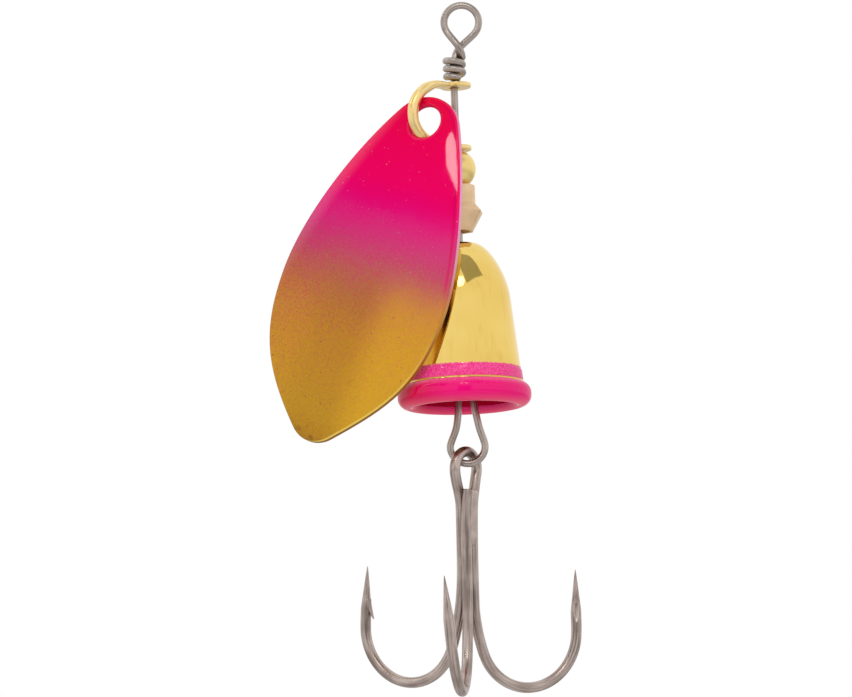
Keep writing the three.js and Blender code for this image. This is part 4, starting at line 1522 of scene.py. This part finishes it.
@dataclass
class Bell:
    """The bell: solid above, hollow below, with a band, a crease and a thick lip.

    The band's edge and its swell are given as out from the band, then as up
    from its top and up from the crease. The inside's paint starts at a share of
    the mouth's rounding.
    """

    levels: Levels
    crown_radius: float = 1.4
    crown_reach: float = 1.6
    shoulder_radius: float = 5.12
    shoulder_drop: float = 5.7
    shoulder_reach: Spot = (-0.3, 2.4)
    skirt_radius: float = 5.98
    band_drop: float = 13.45
    band_step: float = 0.1
    band_edge: tuple[Spot, ...] = ((-0.08, -0.03), (-0.02, -0.09), (0, -0.13))
    band_swell: tuple[Spot, ...] = ((0.06, 0.5), (0.09, 0.22), (0.09, 0.14), (0.04, 0.06))
    crease_drop: float = 14.72
    lip_radius: float = 6.96
    lip_round: float = 1.15
    mouth_radius: float = 4.93
    mouth_round: float = 0.85
    wall: float = 1.25
    roof_drop: float = 8.3
    roof_round: float = 1.2
    roof_spread: float = 0.3
    inner_taper: Spot = (0.04, 1.2)
    paint_depth: float = 2.4
    bore: float = 0.94
    bore_edge: float = 0.1
    bore_flare: Spot = (0.3, 0.2)
    inside_from: float = 0.9
    crown_steps: int = 48
    skirt_rows: int = 30
    lip_steps: int = 20
    mouth_steps: int = 16
    roof_steps: int = 12
    bore_steps: int = 5
    sides: int = 200

    @property
    def height(self) -> float:
        """From the crown to the mouth."""
        return self.levels.bell_top - self.levels.bell_mouth

    def section(self) -> np.ndarray:
        """Closed section: over the crown, down the outside, up the hollow.

        Returns:
            Radius and depth below the crown, depths negative.
        """
        soft, bore, lip = self.bore_edge, self.bore / 2, self.lip_round
        shoulder = np.array([self.shoulder_radius, -self.shoulder_drop])
        crown = bezier([(self.crown_radius, 0), (self.crown_radius + self.crown_reach, 0),
                        shoulder + self.shoulder_reach, shoulder], self.crown_steps)
        skirt_foot = (self.skirt_radius, -self.band_drop)
        skirt = np.linspace(shoulder, skirt_foot, self.skirt_rows)[1:]
        band = self.skirt_radius + self.band_step
        lip_centre = self.lip_radius - lip
        start = math.degrees(math.acos((band - lip_centre) / lip))
        inner = self.skirt_radius - self.wall
        taper_in, taper_drop = self.inner_taper
        wall = self.shoulder_radius - self.wall + self.roof_spread - self.roof_round
        flare_out, flare_up = self.bore_flare
        return np.concatenate([
            arc((bore + soft, -soft), soft, 180, 90, self.bore_steps),
            crown,
            skirt,
            np.array(self.band_edge) + (band, -self.band_drop),
            np.array(self.band_swell) + (band, -self.crease_drop),
            arc((lip_centre, -self.crease_drop - lip), lip, start, 0, self.lip_steps),
            arc((lip_centre, lip - self.height), lip, 0, -90, self.lip_steps),
            arc((self.mouth_radius + self.mouth_round, self.mouth_round - self.height),
                self.mouth_round, -90, -180, self.mouth_steps),
            [[inner, -self.band_drop - taper_drop], [inner - taper_in, -self.band_drop]],
            arc((wall, -self.roof_drop - self.roof_round), self.roof_round, 0, 90,
                self.roof_steps),
            [[bore + flare_out, -self.roof_drop], [bore, flare_up - self.roof_drop]],
        ])

    def build(self) -> None:
        """Turns the section and marks each point's depth and whether it is inside."""
        section = self.section()
        inside = np.zeros(len(section))
        inside[np.argmin(section[:, 1]):] = 1
        inside[section[:, 1] < self.mouth_round * self.inside_from - self.height] = 0
        level = np.stack([section[:, 0], -section[:, 1], inside], -1)[:, None]
        shell = lathe(section + (0, self.levels.bell_top), self.sides, level=level)
        finish = BellPlating(self.band_drop, self.crease_drop, self.height - self.paint_depth,
                             self.height)
        Fitting("bell", "bell", "gold_plate").fit(shell, "bell_body", finish.material())


@dataclass(frozen=True)
class Hook:
    """One hook of the treble, in its own plane."""

    azimuth: float
    shank_azimuth: float
    length: float
    reach: float
    lean: float = 0
    slant: float = 0
    barb_turn: float = 0
    wire: float = 1.12
    shank_gap: float = 0.05
    bend_radius: float = 5.6
    flare: float = 20
    point_rise: float = 12.1
    spear: float = 4.4
    barb_drop: float = 5.5
    barb_length: float = 2.1
    barb_lift: float = 0.46
    barb_root: float = 0.42
    barb_width: Spot = (0.34, 0.02)
    barb_depth: Spot = (0.26, 0.035)
    barb_lift_power: float = 1.5
    barb_width_power: float = 2.2
    barb_rows: int = 18
    barb_sides: int = 20
    flare_rows: int = 5
    bend_rows: int = 15

    def place(self, reach: Any, drop: Any, rise: Any) -> np.ndarray:
        """Points at a reach and a drop, set sideways as they rise to the point.

        Args:
            reach: distance from the treble's axis.
            drop: distance below its top.
            rise: height over the bend, which the slant carries sideways.

        Returns:
            The points.
        """
        reach, drop, rise = rows(reach, drop, rise).T[..., None]
        side = heading(self.azimuth + 90) * math.tan(math.radians(self.slant))
        return heading(self.azimuth) * reach + side * rise + np.array([0, 0, -1.0]) * drop

    def knots(self) -> np.ndarray:
        """Centre line from the top of the flare to the point.

        The shank leans out on a wide arc, the bend is an arc of its own radius,
        and a straight run carries it up to the point. The shanks' radius is that
        of three wires side by side.

        Returns:
            The points that the hook's wire passes through.
        """
        tilt, lean = math.radians(self.flare), math.radians(self.lean)
        shank_radius = (self.wire + self.shank_gap) / math.sqrt(3)
        bend_centre = self.length - self.bend_radius
        flare_end = self.reach - self.bend_radius * math.cos(tilt)
        flare_radius = (flare_end - shank_radius) / (1 - math.cos(tilt))
        flare_top = bend_centre + (self.bend_radius - flare_radius) * math.sin(tilt)
        angle = np.linspace(0, tilt, self.flare_rows)[:-1]
        flare = self.place(shank_radius + flare_radius * (1 - np.cos(angle)),
                           flare_top + flare_radius * np.sin(angle), 0)
        shift = (heading(self.shank_azimuth) - heading(self.azimuth)) * shank_radius
        flare = flare + (1 - angle / tilt)[:, None] * shift
        angle = np.radians(np.linspace(self.flare, 180 - self.lean, self.bend_rows))
        drop = bend_centre + self.bend_radius * np.sin(angle)
        rise = np.where(angle > math.pi / 2, self.length - drop, 0)
        bend = self.place(self.reach - self.bend_radius * np.cos(angle), drop, rise)
        point_drop = self.length - self.point_rise
        straight = -bend[-1, 2] - point_drop
        reach = self.reach + self.bend_radius * math.cos(lean) + straight * math.tan(lean)
        point = self.place(reach, point_drop, self.point_rise)
        return np.concatenate([flare, bend, point - unit(point - bend[-1:]) * self.spear, point])

    def barb(self) -> Shell:
        """The barb: a sliver raised from the spear, its free end down and out.

        An oval section shrinks along a line that leaves the spear at a small
        angle; it is widest at the root and comes to a point at the free end.

        Returns:
            The barb, marked like the wire.
        """
        base, point = self.knots()[[-2, -1]]
        upwards = unit(point - base)
        inwards = -heading(self.azimuth)
        inwards = unit(inwards - (inwards @ upwards) * upwards)
        turn = math.radians(self.barb_turn)
        out = math.cos(turn) * inwards + math.sin(turn) * np.cross(upwards, inwards)
        share = np.linspace(0, 1, self.barb_rows)
        run = self.barb_drop - self.barb_length * (1 - share)
        full, root = self.wire / 2, self.barb_root
        rising = share ** self.barb_lift_power
        lift = full * root + (full * (1 - root) + self.barb_lift) * rising
        path = point - run[:, None] * upwards + lift[:, None] * out
        (width, least_width), (depth, least_depth) = self.barb_width, self.barb_depth
        narrowing = 1 - share ** self.barb_width_power
        width = width * np.sqrt(np.clip(narrowing, 0, 1)) + least_width
        depth = depth * (1 - share) + least_depth
        angle = once_round(self.barb_sides)
        return tube(path, width[:, None] * np.cos(angle), np.cross(out, upwards),
                    depth[:, None] * np.sin(angle), out, run)


@dataclass
class Treble:
    """The treble hook: an eyed double wire, a third hook and their braze.

    The braze's lines give the centres of the two shanks that it bridges, each as
    across, back and how far down. Its swells are waves in its depth, each with a
    height, a pace and a start.
    """

    loop_bottom: Point
    offset: float = -0.27
    swing: float = 8
    lean: float = 0.8
    wire: float = 1.12
    left: Hook = Hook(azimuth=146, shank_azimuth=146, length=22.88, reach=7.4, lean=-3.5)
    right: Hook = Hook(azimuth=26, shank_azimuth=26, length=23.55, reach=7.0, barb_turn=64)
    front: Hook = Hook(azimuth=263.5, shank_azimuth=266, length=23.05, reach=7.0, slant=-5)
    eye_radius: float = 1.8
    eye_centre: float = 0.55
    eye_yaw: float = 51
    eye_half_turn: float = 95
    eye_knots: int = 11
    left_twist: tuple[Point, ...] = (
        (-0.56, 0.37, -6.0), (-0.6, 0.24, -4.0), (-0.78, -0.14, -2.85), (-1.0, -0.82, -1.76))
    right_twist: tuple[Point, ...] = (
        (0.98, 1.0, -1.76), (0.82, 0.74, -2.85), (0.68, 0.45, -4.0), (0.6, 0.3, -6.0))
    front_top: tuple[Point, ...] = ((0.2, -0.76, -2.6), (0.1, -0.72, -4.0), (-0.03, -0.67, -6.0))
    braze_front: tuple[Point, ...] = (
        (0.18, -0.76, 2.85), (0.1, -0.72, 4.0), (-0.03, -0.67, 6.0), (-0.047, -0.674, 9.0))
    braze_right: tuple[Point, ...] = (
        (0.82, 0.74, 2.85), (0.68, 0.45, 4.0), (0.6, 0.3, 6.0), (0.607, 0.296, 9.0))
    braze_top: float = 2.62
    braze_bottom: float = 8.6
    braze_width: float = 1.2
    braze_depth: float = 0.52
    braze_least: float = 0.01
    braze_shift: float = 0.08
    braze_swells: tuple[Point, ...] = ((0.02, 17, 0), (0.01, 31, 1))
    braze_least_share: float = 0.02
    end_power: int = 12
    fullness: float = 0.5
    braze_rows: int = 70
    braze_sides: int = 36
    finish: DrawnWire = DrawnWire("hook_wire", tone(196, 180, 172), tone(146, 131, 123), 0.24)
    solder: Plating = Plating("solder", tone(198, 182, 173), tone(168, 152, 143), 0.34,
                              1500.0, 0.01)

    def double(self) -> Shell:
        """The eye between its two hooks: an arc, two twists and the hooks' lines.

        Returns:
            The wire and its two barbs.
        """
        half_turn = self.eye_half_turn
        angle = np.radians(np.linspace(-half_turn, half_turn, self.eye_knots))[:, None]
        eye = (heading(self.eye_yaw) * self.eye_radius * np.sin(angle)
               + np.array([0, 0, 1.0]) * (self.eye_radius * np.cos(angle) - self.eye_centre))
        knots = np.concatenate([self.left.knots()[::-1], self.left_twist, eye, self.right_twist,
                                self.right.knots()])
        wire = RoundWire(self.wire, End.POINT, End.POINT).swept(knots)
        return wire.joined(self.left.barb(), self.right.barb())

    def single(self) -> Shell:
        """The third hook, its cut end beside the eye."""
        wire = RoundWire(self.wire, End.CUT, End.POINT)
        return wire.swept(np.concatenate([self.front_top, self.front.knots()])).joined(
            self.front.barb())

    def braze(self) -> Shell:
        """Solder bridging the third hook's shank and the right-hand one.

        At each height a squared oval spans from one shank's centre to the
        other's; its depth swells and sinks a little, and it closes at both ends.

        Returns:
            The solder.
        """
        share = np.linspace(0, 1, self.braze_rows)
        down = self.braze_top + (self.braze_bottom - self.braze_top) * share
        first, second = (read_off(down, line[:, 2], line[:, :2])
                         for line in (np.array(self.braze_front), np.array(self.braze_right)))
        span = second - first
        outward = unit(np.stack([span[:, 1], -span[:, 0]], -1))
        close = np.sqrt(np.clip(1 - (2 * share - 1) ** self.end_power, 0, 1))
        swell = sum(height * np.sin(share * pace + start)
                    for height, pace, start in self.braze_swells)
        depth = (self.braze_depth + swell) * close + self.braze_least
        width = (np.linalg.norm(span, axis=1) / 2
                 * np.clip(close, self.braze_least_share, 1) * self.braze_width)
        cross, deep = oval(once_round(self.braze_sides), self.fullness)
        middle = (first + second) / 2 + self.braze_shift * outward
        level = np.zeros((len(share), 1))
        side, out = np.hstack([unit(span), level]), np.hstack([outward, level])
        path = np.hstack([middle, -down[:, None]])
        return tube(path, width[:, None] * cross, side, depth[:, None] * deep, out)

    def build(self) -> None:
        """Builds the two wires and the solder, hangs them in the loop and fits them."""
        wire = self.finish.material()
        turn = turn_about("X", self.swing) @ turn_about("Y", self.lean)
        for shell, node, slot, name, material in (
            (self.double(), "treble_double", "hook_wire", "double_hook", wire),
            (self.single(), "treble_single", "hook_wire", "third_hook", wire),
            (self.braze(), "braze", "solder", "braze_bead", self.solder.material()),
        ):
            hung = shell.placed(np.eye(3), (self.offset, 0, 0)).placed(turn, self.loop_bottom)
            Fitting("treble", node, slot).fit(hung, name, material)


# ------------------------------------------------------------------- the studio


@dataclass(frozen=True)
class Border:
    """A stretch of a card, across a direction, over which its glow changes."""

    across: Point
    start: float
    end: float
    strength: float


@dataclass(frozen=True)
class Card:
    """A flat card that only reflections see, its corners in metres."""

    name: str
    corners: tuple[Point, ...]
    strength: float
    borders: tuple[Border, ...] = ()


@dataclass(frozen=True)
class Lamp:
    """A soft square lamp: its direction, its side in metres and its watts."""

    name: str
    towards: Point
    size: float
    power: float


@dataclass
class Studio:
    """Plain soft light, a pale floor, the camera and the cards for reflections.

    The camera's target and distance are millimetres; the floor's and the lamps'
    sizes are metres.
    """

    target: Point = (-3.839, 0.0, -34.207)
    distance: float = 480.0
    elevation: float = -8.0
    roll: float = 1.8638
    lens: float = 195.0
    sensor: float = 36.0
    clip: Spot = (0.01, 10.0)
    floor_drop: float = 0.30
    floor_half: float = 3.0
    floor_tone: Colour = tone(244, 244, 244)
    ambient: float = 0.62
    lamp_distance: float = 0.9
    lamps: tuple[Lamp, ...] = (
        Lamp("key", (-0.5, -1.0, 0.75), 0.7, 3.0),
        Lamp("fill", (0.9, -0.8, 0.1), 0.7, 1.6),
    )
    cards: tuple[Card, ...] = (
        Card("dark_side", ((-0.404, -0.511, 0.192), (-0.602, -0.03, 0.192),
                           (-0.486, 0.017, 0.408), (-0.288, -0.463, 0.408)), 0.08,
             (Border((0.103, 0.747, 0.657), 0.05, 0.084, 2.6),
              Border((0.0, 0.0, -1.0), -0.27, -0.2, 1.0))),
        Card("softbox", ((-0.3864, -0.3127, 0.3312), (-0.3923, -0.3101, 0.3234),
                         (-0.3936, -0.3418, 0.3005), (-0.3824, -0.4118, 0.2729),
                         (-0.3817, -0.3777, 0.2962), (-0.3821, -0.3366, 0.3225)), 19.0),
        Card("dark_overhead", ((0.025, -0.134, 0.56), (0.21, -0.12, 0.525), (0.431, -0.177, 0.355),
                               (0.137, -0.476, 0.317), (-0.01, -0.33, 0.47)), 0.42),
        Card("bright_spot", ((-0.059, -0.423, 0.387), (0.051, -0.42, 0.391), (0.082, -0.46, 0.34),
                             (0.047, -0.505, 0.283), (-0.068, -0.51, 0.272)), 5.0),
        Card("camera_side", ((-0.12, -0.6, -0.24), (0.12, -0.6, -0.24),
                             (0.12, -0.6, 0.1), (-0.12, -0.6, 0.1)), 0.25),
    )

    def camera(self) -> None:
        """Places the camera: below the lure's middle, looking slightly up."""
        tilt, roll = math.radians(self.elevation), math.radians(self.roll)
        across = Vector((1, 0, 0))
        rising = Vector((0, math.sin(tilt), math.cos(tilt)))
        back = Vector((0, -math.cos(tilt), math.sin(tilt)))
        right = math.cos(roll) * across - math.sin(roll) * rising
        upward = math.cos(roll) * rising + math.sin(roll) * across
        data = bpy.data.cameras.new("camera")
        data.lens, data.sensor_width = self.lens, self.sensor
        data.clip_start, data.clip_end = self.clip
        camera = put("camera", data)
        place = (Vector(self.target) + back * self.distance) * MM
        axes = Matrix((right, upward, back)).transposed().to_4x4()
        camera.matrix_world = Matrix.Translation(place) @ axes
        bpy.context.scene.camera = camera

    def world(self) -> None:
        """White to the camera and to reflections, a plain level to everything else."""
        recipe = Recipe(bpy.data.worlds.new("studio"), "Background")
        path = recipe.node("ShaderNodeLightPath", {}, {})
        seen = Signal(recipe, path.outputs["Is Camera Ray"])
        for ray in ("Is Glossy Ray", "Is Transmission Ray"):
            seen = seen.maths("MAXIMUM", seen, path.outputs[ray])
        level = blended(seen, self.ambient, 1.0)
        bpy.context.scene.world = recipe.done(color=WHITE, strength=level)

    def lamp(self, lamp: Lamp) -> None:
        """Hangs a lamp that reflections don't see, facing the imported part's middle.

        Args:
            lamp: its direction, size and power.
        """
        data = bpy.data.lights.new(lamp.name, "AREA")
        data.size, data.energy = lamp.size, lamp.power
        light = put(lamp.name, data)
        direction = Vector(lamp.towards).normalized()
        light.location = (CAD_LOW + CAD_HIGH) / 2 + direction * self.lamp_distance
        light.rotation_euler = direction.to_track_quat("Z", "Y").to_euler()
        light.visible_glossy = False

    def sheet(self, corners: Sequence[Point], material: bpy.types.Material) -> bpy.types.Object:
        """A flat sheet with those corners in order, named as its material.

        Args:
            corners: its corners in metres.
            material: its material.

        Returns:
            The sheet's object.
        """
        mesh = bpy.data.meshes.new(material.name)
        mesh.from_pydata(corners, [], [range(len(corners))])
        mesh.materials.append(material)
        sheet = put(material.name, mesh)
        return sheet

    def floor(self) -> None:
        """A pale floor well below the lure."""
        height = CAD_LOW[2] - self.floor_drop
        half = self.floor_half
        material = Recipe.named("floor").done(
            base_color=self.floor_tone, roughness=1.0, specular_ior_level=0.0)
        self.sheet([(-half, -half, height), (half, -half, height), (half, half, height),
                    (-half, half, height)], material)

    def card(self, card: Card) -> None:
        """Stands a card; every border adds its share of the glow on its far side.

        Args:
            card: its corners, its glow and the borders that change it.
        """
        recipe = Recipe.named(card.name)
        full = card.strength + sum(border.strength for border in card.borders)
        share = card.strength / full
        for border in card.borders:
            across = recipe.node("ShaderNodeVectorMath", {"operation": "DOT_PRODUCT"},
                                 {0: recipe.place, 1: border.across})
            far = Signal(recipe, across.outputs["Value"]).eased(border.start, border.end)
            share = far * (border.strength / full) + share
        sheet = self.sheet(card.corners, recipe.done(
            base_color=BLACK, roughness=1.0, specular_ior_level=0.0,
            emission_color=recipe.mixed(share, BLACK, WHITE), emission_strength=full))
        for ray in ("camera", "diffuse", "transmission", "shadow", "volume_scatter"):
            setattr(sheet, f"visible_{ray}", False)

    def build(self) -> None:
        """Sets the whole studio up."""
        self.camera()
        self.world()
        for lamp in self.lamps:
            self.lamp(lamp)
        self.floor()
        for card in self.cards:
            self.card(card)
        bpy.context.scene.view_settings.view_transform = "Standard"


def main() -> None:
    """Builds the studio and the lure."""
    logging.basicConfig(level=logging.INFO, format="%(name)s: %(message)s")
    levels = Levels.measured(Clevis.bead_gap + Clevis.disc_thickness / 2 + Clevis.height)
    shaft = ShaftWire(levels)
    Studio().build()
    for part in (shaft, Clevis(levels), Blade(), Bead(levels), Gear(levels), Bell(levels),
                 Treble(shaft.loop_bottom())):
        part.build()


if __name__ == "__main__":
    main()
